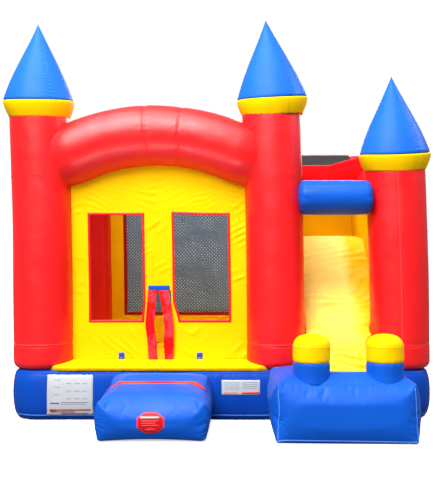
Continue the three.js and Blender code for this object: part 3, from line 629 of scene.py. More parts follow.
def add_collar(place, seed):
    """A flared ring with an open top: up its outside, over the lip and down its inside."""
    node = f"collar_{place}"
    low, high = box(node)
    middle = (low + high) / 2
    top_r, bottom_r = half_width(node), COLUMN_R + 0.002
    height = high[2] - low[2]
    steps = 14
    t = np.linspace(0, 1, steps)
    outer = bottom_r + (top_r - bottom_r) * np.sin(t * 1.35) / math.sin(1.35)
    lip = [top_r - 0.006, top_r - 0.020]
    lip_z = [high[2] + 0.004, high[2] + 0.002]
    radii = np.concatenate([outer, lip, outer[::-1] - 0.026])
    heights = np.concatenate([low[2] - 0.006 + height * t, lip_z, low[2] + height * t[::-1]])
    angle = turns(COLLAR_SIDES)
    grid = radii[:, None] + waves(on_tube(angle, top_r, heights), 0.5, seed) * 0.0018
    seams = [0.5 + k * TAU / 4 for k in range(4)]
    for seam in seams:
        grid -= 0.004 * bell(off_seam(angle, seam) * top_r, 0.012)[None]
    rings = turn_rings(middle, grid, heights, COLLAR_SIDES)
    rings = sit(rings, place, DROOP * (0.8 + 0.2 * (heights[:, None] - low[2]) / height))
    loft(f"{node}_skin", rings, YELLOW, closed=True, nodes=[node])
    for number, seam in enumerate(seams):
        points = rings[1:steps, round(seam / TAU * COLLAR_SIDES) % COLLAR_SIDES]
        outward = unit((points - middle) * (1, 1, 0))
        ribbon(f"{node}_seam_{number}", points, outward, 0.007, 0.0015, YELLOW)


def add_spire(place, seed):
    node = f"spire_{place}"
    low, high = box(node)
    t = breaks([0, 0.04, 0.12, 0.94, 1], 0.010)
    heights = low[2] + (high[2] - low[2]) * t
    cone = (half_width(node) + 0.026) * (1 - t)
    belly = 0.024 * np.sin(np.clip(t * 1.15, 0, 1) * math.pi) * (1 - t)
    radii = np.maximum(cone + belly - 0.030 * rounded(t / 0.035), 0.0035)[:, None]
    angle = turns(SPIRE_SIDES)
    spot = on_tube(angle, radii, heights)
    grid = radii * (1 + waves(spot, 0.6, seed) * 0.004)
    gathers = creases(heights[:, None] / 0.030 + 0.7 * waves(spot, 0.4, seed + 1), 2)
    reach = np.clip(radii / 0.1, 0, 1)
    seams = [0.56 + k * TAU / 3 for k in range(3)]
    for seam in seams:
        arc = off_seam(angle, seam)[None] * radii
        grid -= reach * (0.003 * bell(arc, 0.010) - 0.0060 * bell(arc, 0.055) * gathers)
    pleat = folds(angle[None] * 9 + 1.2 * waves(spot, 0.5, seed + 2))
    grid -= 0.005 * bell(t[:, None], 0.06) * (1 - pleat)
    rings = turn_rings((low + high) / 2, grid, heights, SPIRE_SIDES)
    rings = sit(rings, place, DROOP * np.clip(1 - t[:, None] / 0.5, 0, 1) ** 2)
    loft(f"{node}_skin", rings, SPIRE_BLUE, nodes=[node])
    for number, seam in enumerate(seams):
        column = round(seam / TAU * SPIRE_SIDES) % SPIRE_SIDES
        points, normals = tube_surface_path(rings[3:-16], column=column)
        ribbon(f"{node}_seam_{number}", points, normals, 0.007, 0.0015, SPIRE_BLUE)


def add_turrets():
    for number, place in enumerate(TURRET_POSE):
        add_collar(place, 201 + 10 * number)
        add_spire(place, 301 + 10 * number)


# ---------------------------------------------------------------- arch, beams and roll
ARCH_R = 0.314
ARCH_PATH_R = 2.09
ARCH_Z = 0.835
TUBE_SIDES = 96
PINCH = 0.008
BURY = 0.12


def gathered_tube(points, radius, around, seams, seed, hem=0.0, up=(0, 0, 1)):
    """An inflated tube along a path, pinched and pleated at the given lengths along it."""
    points = np.asarray(points, float)
    length = path_length(points)
    grid = np.zeros((len(points), around)) + radius
    rings = path_rings(points, grid, around, up)
    grid += waves(rings, 1.0, seed) * 0.003 + waves(rings, 0.25, seed + 1) * 0.0004
    pleats = round(np.mean(grid) / 0.10) / 2
    pleat = folds(turns(around)[None] * pleats + 1.4 * waves(rings, 0.5, seed + 2))
    for seam in seams:
        gap = length[:, None] - seam
        grid -= PINCH * bell(gap, 0.012) + PINCH * 0.55 * bell(gap, 0.07) * (1 - pleat)
    if hem:
        for gap in (length[:, None], length[-1] - length[:, None]):
            grid -= grid * 0.9 * rounded(gap / hem, 2.6)
            grid -= 0.008 * bell(gap - hem * 0.5, hem) * (1 - pleat)
    return path_rings(points, grid, around, up), length


def add_tube(node, points, radius, seams, seed, material=None, around=TUBE_SIDES, **extra):
    material = material or RED
    rings, length = gathered_tube(points, radius, around, seams, seed, **extra)
    loft(f"{node}_skin", rings, material, nodes=[node])
    for number, seam in enumerate(seams):
        line, normals = tube_surface_path(rings, row=nearest(length, seam))
        ribbon(f"{node}_skin_seam_{number}", line, normals, 0.010, 0.002, material)


def straight(start, end, step=0.014):
    start, end = np.asarray(start, float), np.asarray(end, float)
    count = max(2, math.ceil(np.linalg.norm(end - start) / step))
    return start + (end - start) * np.linspace(0, 1, count + 1)[:, None]


def add_arch():
    """The front arch, thinner and set back a little where it meets its columns."""
    reach = math.asin((FRONT_MIDDLE[0] - ROOM_X) / ARCH_PATH_R)
    angle = np.linspace(-reach, reach, 190)
    ends = ease(np.abs(angle), 0.41, 0.54)
    points = np.stack([
        ROOM_X + ARCH_PATH_R * np.sin(angle), FRONT_Y + 0.034 * ends,
        ARCH_Z + ARCH_PATH_R * np.cos(angle),
    ], axis=1)
    seams = [ARCH_PATH_R * (reach + turn) for turn in (-0.042, 0.123)]
    add_tube("front_arch", points, ARCH_R - 0.030 * ends[:, None], seams, 61, up=(0, 1, 0))


def add_beams():
    back_z = centre("back_beam")[2]
    left, middle = centre("left_beam"), centre("middle_beam")
    start, end = (BACK_LEFT[0] + BURY, BACK_Y, back_z), (BACK_RIGHT[0] - BURY, BACK_Y, back_z)
    add_tube("back_beam", straight(start, end), BEAM_R, [0.75, 1.85, 2.7], 71)
    start, end = (left[0], FRONT_Y + BURY, left[2]), (left[0], BACK_Y - BURY, left[2])
    add_tube("left_beam", straight(start, end), BEAM_R, [0.95], 73)
    start, end = (middle[0], FRONT_Y + BURY, middle[2]), (middle[0], BACK_Y - 0.2, middle[2])
    add_tube("middle_beam", straight(start, end), SLIM_BEAM_R, [1.05], 79)
    low, high = box("right_beam")
    rise = (high[2] - low[2] - 2 * SLIM_BEAM_R) * 1.1
    start = (BACK_RIGHT[0], FRONT_Y + 0.1, back_z - rise)
    end = (BACK_RIGHT[0], BACK_Y - BURY, back_z - 0.065)
    add_tube("right_beam", straight(start, end), SLIM_BEAM_R, [0.7, 1.5], 83)


def add_lane_crossings():
    """The beam across the slide lane, which rises to the right, and the roll above its mouth."""
    low, high = box("slide_cross_beam")
    y, z = (low[1:] + high[1:]) / 2
    points = straight((low[0] + 0.02, y, z), (high[0] + 0.1, y, z))
    points[:, 2] += 0.10 * ease(points[:, 0], 1.30, 1.80) - 0.02
    add_tube("slide_cross_beam", points, SLIM_BEAM_R, [0.68], 89, CANOPY_RED)
    low, high = box("header_roll")
    y, z = (low[1:] + high[1:]) / 2 - (0, 0.018)
    points = straight((low[0] - 0.005, y, z), (high[0] + 0.005, y, z), 0.008)
    add_tube("header_roll", points, (high[2] - low[2]) / 2, [], 97, BLUE, around=112, hem=0.085)


# ---------------------------------------------------------------- front wall
WALL_T = 0.012
WINDOW_Z = (0.985, 2.100)
LEFT_WINDOW = (-1.378, -0.820)
RIGHT_WINDOW = (-0.497, 0.080)
DOOR = (ROOM_X - 0.122, ROOM_X + 0.122)
DOOR_Z = (0.575, 1.300)
WALL_CELL = 0.0125
NET_PITCH = 0.044
NET_THREAD = 0.0248
TRIM_RISE = 0.005
TRIM_STEP = 0.014
# across and rise of each corner of a trim's section, as shares of its width and TRIM_RISE
TRIM_SECTION = (
    (-0.25, -0.006), (-0.25, 0.6), (-0.15, 1.0), (0.65, 1.0), (0.75, 0.6), (0.75, -0.006),
)


def cell_middles(us, vs):
    return lattice((us[1:] + us[:-1]) / 2, (vs[1:] + vs[:-1]) / 2)


def in_opening(u, v, u_range, v_range):
    return (u > u_range[0]) & (u < u_range[1]) & (v > v_range[0]) & (v < v_range[1])


def wall_warp(x, z):
    """Pulls the windows' lower corners beside the door, as the stretched sheet does."""
    low = ease(z, 1.22, 0.95)
    past = x - RIGHT_WINDOW[0]
    moved = x + 0.060 * low * bell(np.maximum(past, 0), 0.14) * ease(past, -0.14, -0.10)
    moved = moved - 0.020 * low * bell(x - LEFT_WINDOW[1], 0.04)
    return moved, z + 0.012 * bell(past, 0.2) * bell(z - WINDOW_Z[1], 0.2)


def fan(x, z, corner, rays, spread, seed):
    """Tension creases that run out from one corner of the sheet and fade away from it."""
    spot = on_wall(x, z)
    away = np.hypot(x - corner[0], z - corner[1])
    turn = np.arctan2(z - corner[1], x - corner[0])
    phase = rays * turn / math.pi + 0.35 * waves(spot, 0.5, seed)
    fade = bell(away, spread) * np.clip(away / 0.10, 0, 1)
    return creases(phase, 2.2) * fade * patches(spot, 0.45, seed + 1, 0.6, 0.6, 1.2)


def slanted(x, z, slope, pitch, seed):
    """Short loose folds that rise to one side, patchy and never quite parallel."""
    spot = on_wall(x, z)
    phase = (z - slope * x) / pitch + 0.55 * waves(spot, 0.45, seed)
    return creases(phase, 1.8) * patches(spot, 0.28, seed + 1, 0.2, 1.1, 1.4)


def wall_relief(x, z):
    """How far the front wall stands forward: its slack, and the tension creases in it."""
    relief = 0.007 * waves(on_wall(x, z), 1.1, 101)
    top = ease(z, 2.08, 2.22)
    rays = fan(x, z, (0.20, 2.46), 26, 0.75, 103) + fan(x, z, (-1.52, 2.44), 22, 0.7, 104)
    relief += 0.0096 * top * rays
    relief += 0.0062 * top * slanted(x, z, -0.12, 0.075, 105)
    right_strip = bell(x - 0.20, 0.10) * ease(z, 1.15, 1.35)
    between = bell(x + 0.672, 0.13) * ease(z, 1.32, 1.42)
    relief += 0.0108 * (right_strip + between) * slanted(x, z, 0.42, 0.085, 107)
    left_strip = bell(x + 1.50, 0.08) * ease(z, 0.9, 1.1)
    relief += 0.0062 * left_strip * slanted(x, z, -0.25, 0.10, 109)
    below = ease(z, 0.98, 0.86)
    relief += 0.0080 * below * slanted(x, z, 0.75 * np.tanh((x + 0.65) / 0.2), 0.13, 111)
    rays = fan(x, z, (0.10, 0.92), 14, 0.35, 113) + fan(x, z, (-1.42, 0.92), 14, 0.3, 115)
    return relief + 0.0100 * below * rays


def add_front_wall():
    low, high = box("front_wall")
    xs = [low[0] - 0.01, *LEFT_WINDOW, *DOOR, *RIGHT_WINDOW, high[0] + 0.01]
    zs = [low[2] + 0.002, DOOR_Z[0], WINDOW_Z[0], DOOR_Z[1], WINDOW_Z[1], high[2] + 0.04]
    xs, zs = breaks(xs, WALL_CELL), breaks(zs, WALL_CELL)
    mid_x, mid_z = cell_middles(xs, zs)
    kept = np.hypot(mid_x - ROOM_X, mid_z - ARCH_Z) < ARCH_PATH_R - 0.20
    for opening in ((LEFT_WINDOW, WINDOW_Z), (RIGHT_WINDOW, WINDOW_Z), (DOOR, DOOR_Z)):
        kept &= ~in_opening(mid_x, mid_z, *opening)
    x, z = lattice(xs, zs)
    warped_x, warped_z = wall_warp(x, z)
    beside_door = (x > LEFT_WINDOW[1] + 0.02) & (x < DOOR[1] + 0.002)
    warped_x = np.where(beside_door, x, warped_x)
    front = np.stack([warped_x, FRONT_Y - wall_relief(x, z), warped_z], axis=-1)
    shell("front_wall_skin", front, (0, WALL_T, 0), YELLOW, kept, nodes=["front_wall"])


def around_opening(x0, x1, z0, z1):
    """The points round a rectangle, from its lower left corner and along its lower side."""
    bottom, side = breaks([x0, x1], TRIM_STEP), breaks([z0, z1], TRIM_STEP)
    loop_x = [bottom, np.full(len(side) - 1, x1), bottom[::-1][1:], np.full(len(side) - 2, x0)]
    loop_z = [
        np.full(len(bottom), z0), side[1:], np.full(len(bottom) - 1, z1), side[::-1][1:-1],
    ]
    return np.concatenate(loop_x), np.concatenate(loop_z)


def frame_trim(name, corners, width, material, relief, warp, plane, out=-1.0):
    """A taped edge round an opening. corners is (x0, x1, z0, z1)."""
    x0, x1, z0, z1 = corners
    loop_x, loop_z = around_opening(*corners)
    middle = ((x0 + x1) / 2, (z0 + z1) / 2)
    rings = []
    for across, rise in TRIM_SECTION:
        x = middle[0] + (loop_x - middle[0]) * (1 + across * width * 2 / (x1 - x0))
        z = middle[1] + (loop_z - middle[1]) * (1 + across * width * 2 / (z1 - z0))
        y = plane + out * (relief(x, z) + rise * TRIM_RISE)
        warped_x, warped_z = warp(x, z)
        rings.append(np.stack([warped_x, y, warped_z], axis=1))
    return loft(name, np.stack(rings, axis=1), material, closed=True)


def add_window_trims():
    for side, window in (("left", LEFT_WINDOW), ("right", RIGHT_WINDOW)):
        corners = (*window, *WINDOW_Z)
        name = f"window_trim_{side}"
        frame_trim(name, corners, 0.025, RED, wall_relief, wall_warp, FRONT_Y)


# ---------------------------------------------------------------- other walls and nets
def wall_slack(u, z, seed):
    """How far a plain wall stands off its plane: its slack, and crossed creases."""
    spot = on_wall(u, z)
    crossed = creases((z + 0.7 * u) / 0.16 + 1.1 * waves(spot, 0.8, seed), 2.2)
    crossed += creases((z - 0.6 * u) / 0.19 + 1.1 * waves(spot, 0.7, seed + 1), 2.2)
    patch = patches(spot, 0.7, seed + 2, 0.5, 0.7, 1.3)
    return 0.008 * (waves(spot, 1.2, seed + 3) + crossed * patch)


def bar_mesh(lines, width, depth, normal):
    """Thin four-sided threads along many lines of points, as one set of vertices and faces."""
    verts, faces = [], []
    for points in lines:
        side = unit(np.cross(unit(np.gradient(points, axis=0)), normal))
        base = len(verts)
        for across, rise in ((0.5, 0), (0, 0.5), (-0.5, 0), (0, -0.5)):
            verts += list(points + side * width * across + normal * depth * rise)
        n = len(points)
        for k in range(4):
            one, two = base + k * n, base + (k + 1) % 4 * n
            faces += [(one + i, one + i + 1, two + i + 1, two + i) for i in range(n - 1)]
        for end in (base, base + n - 1):
            faces.append((end, end + n, end + 2 * n, end + 3 * n))
    return verts, faces


def netting(node, corner, along, up, size, pitch, width, seed, sag=0.02, step=0.1, material=None):
    """A knotless diamond net over a rectangle, sagging a little between its edges."""
    corner, along, up = (np.asarray(v, float) for v in (corner, along, up))
    normal = np.cross(along, up)
    wide, tall = size
    lines = []
    for sign in (1, -1):
        for k in range(int((wide + tall) / pitch) + 1):
            c = (k + 0.5) * pitch
            u0, u1 = max(0, c - tall), min(wide, c)
            if u1 - u0 < pitch * 0.3:
                continue
            u = np.linspace(u0, u1, max(3, int((u1 - u0) / step) + 2))
            v = c - u if sign > 0 else tall - (c - u)
            bow = np.sin(math.pi * u / wide) * np.sin(math.pi * v / tall)
            flat = on_floor(u, v)
            drop = sag * bow + 0.35 * sag * waves(flat, 0.35, seed) * bow
            shift = 0.30 * pitch * waves(flat, 0.4, seed + 1) * np.minimum(bow * 2, 1)
            points = corner + np.outer(u + shift * 0.5, along) + np.outer(v + shift, up)
            lines.append(points + drop[:, None] * normal + normal * 0.001 * sign)
    verts, faces = bar_mesh(lines, width, width * 0.45, normal)
    return piece(f"{node}_threads", verts, faces, material or NETTING, nodes=[node])


BACK_WINDOW = (-1.363, 0.150, 0.910, 2.350)
SIDE_WINDOW = (-0.520, 0.520, 0.910, 2.200)


def same_place(u, z):
    return u, z


def swap_xy(obj):
    """Turns a piece that was made along X so that it runs along Y."""
    for vertex in obj.data.vertices:
        vertex.co = (vertex.co.y, vertex.co.x, vertex.co.z)
    obj.data.flip_normals()


def net_wall(side, axis, plane, window, above, sides, seed):
    """A wall with a taped window and a net in it, along X (axis 0) or along Y (axis 1)."""
    node = f"{side}_wall"
    low, high = box(node)
    us = breaks([low[axis] - 0.02, *window[:2], high[axis] + 0.02], 0.02)
    zs = breaks([low[2] + 0.002, *window[2:], high[2] + above], 0.02)
    kept = ~in_opening(*cell_middles(us, zs), window[:2], window[2:])
    u, z = lattice(us, zs)
    face = plane + wall_slack(u, z, seed)
    front = np.stack([face, u, z] if axis else [u, face, z], axis=-1)
    depth = (WALL_T, 0, 0) if axis else (0, WALL_T, 0)
    shell(f"{node}_skin", front, depth, YELLOW, kept, nodes=[node])
    for name, out, base in zip(sides, (-1.0, 1.0), (0, WALL_T)):
        def relief(u, z):
            return out * wall_slack(u, z, seed) + base

        name = f"{side}_window_trim_{name}"
        trim = frame_trim(name, window, 0.042, DARK_RED, relief, same_place, plane, out)
        if axis:
            swap_xy(trim)
    u0, u1, z0, z1 = window
    corner = (plane + 0.006, u0, z0) if axis else (u0, plane + 0.006, z0)
    along = (0, 1, 0) if axis else (1, 0, 0)
    size = (u1 - u0, z1 - z0)
    netting(f"{side}_net", corner, along, (0, 0, 1), size, NET_PITCH, NET_THREAD, seed + 10)


def add_net_walls():
    net_wall("back", 0, BACK_Y, BACK_WINDOW, 0.10, ("inner", "outer"), 401)
    net_wall("left", 1, FRONT_LEFT[0], SIDE_WINDOW, 0.08, ("outer", "inner"), 421)


def add_roof_nets():
    low, high = box("roof_net")
    reach = 0.10
    corner = (low[0] - reach, low[1] - reach, high[2])
    size = (high[0] - low[0] + 2 * reach, high[1] - low[1] + 2 * reach)
    netting("roof_net", corner, (1, 0, 0), (0, 1, 0), size, 0.050, 0.009, 441,
            sag=-0.07, step=0.09, material=CANOPY_NET)
    low, high = box("platform_net")
    slope = np.array([0, high[1] - low[1], high[2] - low[2] - 0.006])
    length = float(np.linalg.norm(slope))
    slope = slope / length
    corner = np.array([low[0] - reach, low[1], low[2]]) - slope * 0.05
    size = (high[0] - low[0] + 2 * reach, length + 0.10)
    netting("platform_net", corner, (1, 0, 0), slope, size, 0.036, 0.022, 451,
            sag=-0.012, material=CANOPY_NET)


def puffed_wall(node, low, high, top, seed):
    """An inflated wall standing along Y: two skins that meet at the edges, with sewn uprights."""
    y, v = lattice(breaks([low[1], high[1]], 0.018), breaks([0, 0.06, 0.94, 1], 0.012))
    roof = top(y)
    z = low[2] + (roof - low[2]) * v
    near = np.minimum.reduce([y - low[1], high[1] - y, z - low[2], roof - z])
    swell = 1 - 0.94 * rounded(near / 0.11, 2.2)
    spot = np.stack([np.zeros_like(y), y, z], axis=-1)
    seam = off_line(y - low[1], 0.42)
    inside = ease(y, low[1] + 0.1, low[1] + 0.2) * ease(-y, -high[1] + 0.1, -high[1] + 0.2)
    pleat = creases(z / 0.06 + 0.8 * waves(spot, 0.4, seed), 2)
    swell -= inside * (0.13 * bell(seam, 0.012) + 0.05 * bell(seam, 0.09) * (1 - pleat))
    swell += 0.015 * waves(spot, 0.6, seed + 1)
    thick = (high[0] - low[0]) * swell
    front = np.stack([(low[0] + high[0] - thick) / 2, y, z], axis=-1)
    depth = np.stack([thick, np.zeros_like(y), np.zeros_like(y)], axis=-1)
    return shell(f"{node}_skin", front, depth, YELLOW, nodes=[node])


def add_puffed_walls():
    low, high = box("divider_wall")
    roof = high[2]
    low, high = low + (0, 0.28, 0), high - (0.052, 0, 0)
    puffed_wall("divider_wall", low, high, lambda y: np.full_like(y, roof), 461)
    low, high = box("right_wall")
    beam_low, beam_high = box("right_beam")
    rise = (beam_high[2] - beam_low[2] - 2 * SLIM_BEAM_R) / (beam_high[1] - beam_low[1])

    def under_beam(y):
        return beam_low[2] + 0.05 + rise * (y - beam_low[1])

    inner = np.array([low[0] + 0.105, FRONT_Y + 0.12, low[2]])
    outer = np.array([high[0], BACK_Y - 0.12, high[2]])
    puffed_wall("right_wall", inner, outer, under_beam, 471)


# ---------------------------------------------------------------- base
SKIRT_ROWS = 46
SKIRT_STEP = 0.02
CHAMBER = 0.28
APRON_ENDS = (-1.84, 0.60)
APRON_Z = 0.580


def rounded_path(half_x, half_y, corner, step):
    """Points and outward normals round a rounded rectangle, from the middle of its front."""
    flat_x, flat_y = half_x - corner, half_y - corner
    quarter = breaks([0, math.pi / 2], step / corner)[:-1]
    middles = ((flat_x, -flat_y), (flat_x, flat_y), (-flat_x, flat_y), (-flat_x, -flat_y))
    points, ways = [], []
    for k, middle in enumerate(middles):
        start = (k - 1) * math.pi / 2
        for turn in start + quarter:
            way = np.array([math.cos(turn), math.sin(turn)])
            points.append(middle + corner * way)
            ways.append(way)
        end = start + math.pi / 2
        way = np.array([math.cos(end), math.sin(end)])
        ahead = np.array([-way[1], way[0]])
        for far in breaks([0, (flat_x if k % 2 else flat_y) * 2], step)[:-1]:
            points.append(middle + corner * way + ahead * far)
            ways.append(way)
    return np.array(points), np.array(ways)


def skirt_profile(rows):
    """Outward reach and height from the tucked bottom, over the bulge, to the flat top rim."""
    turn = np.linspace(0, 1, rows)
    lower = turn < 0.5
    swing = np.where(lower, 1 - 2 * turn, 2 * turn - 1)
    out = np.where(lower, 0.075, 0.060) * (np.sqrt(np.clip(1 - swing ** 2.3, 0, 1)) - 1)
    return out, turn


def skirt_rings():
    """The base's side wall: bulged, gathered at its foot and rim, drawn in at the tie strips."""
    low, high = box("base_skirt")
    points, ways = rounded_path(high[0], high[1], 0.30, SKIRT_STEP)
    out, turn = (part[:, None] for part in skirt_profile(SKIRT_ROWS))
    z = low[2] + 0.004 + (high[2] - low[2] - 0.004) * turn
    spot = np.stack(np.broadcast_arrays(points[None, :, 0], points[None, :, 1], z), axis=-1)
    reach = out + 0.006 * waves(spot, 1.1, 501) + 0.0015 * waves(spot, 0.3, 502)
    far = np.arange(len(points)) * SKIRT_STEP
    pleat = folds(far[None] / 0.075 + 1.2 * waves(spot, 0.7, 503))
    reach -= 0.012 * (1 - pleat) * (bell(turn, 0.12) + 0.8 * bell(1 - turn, 0.10))
    on_long_side = np.abs(ways[None, :, 1]) > 0.9
    tied = bell(off_line(spot[..., 0], 0.56), 0.05) * np.sin(math.pi * turn) ** 0.5
    reach -= 0.010 * on_long_side * tied
    spot[..., :2] += ways[None] * reach[..., None]
    return spot, ways


def add_base():
    """The skirt, its rim on the floor sheet, and its hidden return under the sheet."""
    low, high = box("base_skirt")
    rings, ways = skirt_rings()
    edges = [(step, high[2] + 0.008 * math.sin(min(step / 0.12, 1) * math.pi / 2))
             for step in np.linspace(0.03, 0.20, 5)]
    edges += [(0.20, high[2] - 0.02), (0.10, high[2] - 0.03)]
    rows = [(rings[-1], step, z) for step, z in edges] + [(rings[0], 0.03, low[2] + 0.03)]
    loop = [
        np.column_stack([row[:, :2] - ways * step, np.full(len(row), z)])
        for row, step, z in rows
    ]
    loop = np.concatenate([rings, loop])
    # the skirt is drawn in the darker blue that paints its shade
    loft("base_skirt_skin", loop, SHADED_BASE_BLUE, closed=True, nodes=["base_skirt"])
    outward = closed_loop(np.column_stack([ways, np.zeros(len(ways))]))
    # the low seam is drawn in the pale blue of a painted highlight, the high one in the
    # painted-shade blue
    for name, row, material in (("low", 5, HIGHLIT_BLUE_SEAM), ("high", SKIRT_ROWS - 3, SHADED_BASE_BLUE)):
        points = closed_loop(rings[row])
        ribbon(f"base_{name}_seam", points, outward, 0.010, 0.003, material)


def add_floor():
    low, high = box("bounce_floor")
    inset = 0.14
    xs = breaks([low[0] + inset, high[0] - inset], 0.018)
    x, y = lattice(xs, breaks([low[1] + inset, high[1] - inset], 0.05))
    flat = on_floor(x, y)
    pleat = creases(y / 0.07 + waves(flat, 0.5, 511), 2)
    z = high[2] - 0.045 * (1 - folds(x / CHAMBER + 0.5, 2.2))
    z += 0.006 * bell(off_line(x, CHAMBER), 0.06) * pleat
    front = np.stack([x, y, z], axis=-1)
    shell("bounce_floor_skin", front, (0, 0, -0.012), YELLOW, nodes=["bounce_floor"])
    points, ways = rounded_path(high[0] - 0.04, high[1] - 0.04, 0.26, 0.06)
    steps = ((0, 0.012), (0, 0.002), (0.3, 0.001), (0.9, 0.001), (1.2, 0.001))
    sheet = np.array([
        np.column_stack([points - ways * inward, np.full(len(points), z)])
        for inward, z in steps
    ])
    sheet[1:, :, 2] += 0.0012 * waves(sheet[1:], 0.3, 512)
    loft("base_underside_skin", sheet, BLUE, nodes=["base_underside"])


def add_apron():
    """The ledge in front of the wall, which narrows at its ends and curls down at its lip."""
    wall = FRONT_Y - 0.004
    lip_y = box("base_skirt")[0][1] + 0.040
    left, right = APRON_ENDS
    x, s = lattice(breaks([left + 0.01, right - 0.01], 0.014), np.linspace(0, 1, 34))
    near = np.clip(np.minimum(x - left, right - x) / 0.26, 0, 1)
    reach = 0.50 + 0.50 * np.sin(near * math.pi / 2)
    y = wall + (lip_y - wall) * reach * np.minimum(s / 0.9, 1)
    slope = APRON_Z - 0.039 * np.minimum(s / 0.88, 1)
    curl = 0.027 * np.clip((s - 0.86) / 0.14, 0, 1) ** 1.7
    spot = np.stack([x, y, slope], axis=-1)
    crease = creases(x / 0.085 + 0.5 * (y - wall) / 0.1 + 1.2 * waves(spot, 0.5, 521), 2)
    crease *= patches(spot, 0.4, 522, 0.5, 0.7, 1.2)
    z = slope - curl + 0.007 * np.sin(math.pi * s) + 0.006 * crease * (1 - s * 0.6)
    y = y - 0.006 * waves(spot, 0.25, 523) * (s > 0.85)
    front = np.stack([x, y, z], axis=-1)
    shell("front_apron_skin", front, (0, 0, -0.014), YELLOW, nodes=["front_apron"])


# ---------------------------------------------------------------- entrance
# (height, x of the sewn edge, x of the free edge) up each flap
FLAP_EDGES = {
    "left": ((0.55, -0.761, -0.671), (0.82, -0.783, -0.684), (0.94, -0.802, -0.709),
             (1.30, -0.770, -0.678)),
    "right": ((0.55, -0.512, -0.598), (0.76, -0.506, -0.608), (0.94, -0.509, -0.598),
              (1.09, -0.524, -0.621), (1.30, -0.557, -0.664)),
}


def add_flap(side, seed):
    """A loose flap pulled aside: fixed at its top, bowed outward half way down."""
    node = f"entrance_flap_{side}"
    low, high = box(node)
    heights, outer_x, inner_x = zip(*FLAP_EDGES[side])
    zs = breaks([low[2] + 0.001, high[2] + 0.012], 0.009)
    outer, inner = (
        smooth_line(np.pad(np.interp(zs, heights, edge), 4, mode="edge"))
        for edge in (outer_x, inner_x)
    )
    u, z = lattice(np.linspace(0, 1, 14), zs)
    x = outer[None] + (inner - outer)[None] * u
    v = (z - low[2]) / (high[2] - low[2])
    bow = np.sin(math.pi * np.clip(v * 1.06, 0, 1)) ** 1.2
    spot = on_wall(x, z)
    wrinkle = creases(z / 0.075 + 0.7 * u + waves(spot, 0.3, seed), 2)
    wrinkle *= patches(spot, 0.3, seed + 1, 0, 1, 1)
    y = FRONT_Y - 0.021 - 0.016 * bow - 0.010 * wrinkle - 0.008 * np.sin(math.pi * u)
    facing = 1 if side == "left" else -1
    front = np.stack([x, y, z], axis=-1)[::facing]
    skin = shell(f"{node}_skin", front, (0, 0.005, 0), FLAP_RED, body=None, nodes=[node])
    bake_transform(skin)
    for number, points in enumerate((front[1, 2:-2], front[-2, 2:-2])):
        normals = np.tile((0, -1.0, 0), (len(points), 1))
        hem = ribbon(f"{node}_hem_{number}", points, normals, 0.006, 0.0015, FLAP_RED, body=None)
        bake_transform(hem)


def patch_on_wall(name, x_range, z_range, material, height, step=0.01):
    """A raised patch sewn on the front wall."""
    x, z = lattice(breaks(x_range, step), breaks(z_range, step))
    edge = np.minimum.reduce([x - x_range[0], x_range[1] - x, z - z_range[0], z_range[1] - z])
    lift = wall_relief(x, z) + height * np.sqrt(np.clip(edge / 0.006, 0.1, 1))
    front = np.stack([x, FRONT_Y - lift, z], axis=-1)
    return shell(name, front, (0, height + 0.002, 0), material)


def add_entrance():
    add_flap("left", 531)
    add_flap("right", 541)
    header = (ROOM_X - 0.118, ROOM_X + 0.106)
    patch_on_wall("door_header_patch", header, (1.300, 1.356), BLUE, 0.010)
    for side, x in (("left", -1.054), ("right", -0.233)):
        name = f"wall_tab_{side}"
        patch_on_wall(name, (x - 0.031, x + 0.031), (0.556, 0.650), BLUE, 0.008)
        loop, slot = (x - 0.014, x + 0.014), (x - 0.018, x + 0.018)
        patch_on_wall(f"{name}_loop", loop, (0.586, 0.599), GREY_INK, 0.014, 0.004)
        patch_on_wall(f"{name}_slot", slot, (0.622, 0.632), WEBBING, 0.014, 0.004)


# ---------------------------------------------------------------- padded forms by cloth
def box_grid(low, high, step, lift=None):
    """A closed box of nearly square cells, its top raised to lift(x, y) where given."""
    counts = [max(2, round((high[k] - low[k]) / step)) for k in range(3)]
    index = {}
    faces = []
    for axis in range(3):
        one, two = (axis + 1) % 3, (axis + 2) % 3
        for end in (0, counts[axis]):
            for p, q in np.ndindex(counts[one], counts[two]):
                quad = []
                for dp, dq in ((0, 0), (1, 0), (1, 1), (0, 1)):
                    place = [0, 0, 0]
                    place[axis], place[one], place[two] = end, p + dp, q + dq
                    quad.append(index.setdefault(tuple(place), len(index)))
                faces.append(quad if end else quad[::-1])
    low, high = np.asarray(low, float), np.asarray(high, float)
    verts = low + (high - low) * (np.array(list(index)) / counts)
    if lift is not None:
        t = (verts[:, 2] - low[2]) / (high[2] - low[2])
        verts[:, 2] = low[2] + (lift(verts[:, 0], verts[:, 1]) - low[2]) * t
    return verts, faces


CLOTH_PRESSURE = 5.0
CLOTH_FRAMES = 24
CLOTH_STIFFNESS = 18.0


def places_of(mesh):
    return np.array([v.co for v in mesh.vertices])


def move_to(mesh, places):
    for vertex, place in zip(mesh.vertices, places):
        vertex.co = place
    mesh.update()


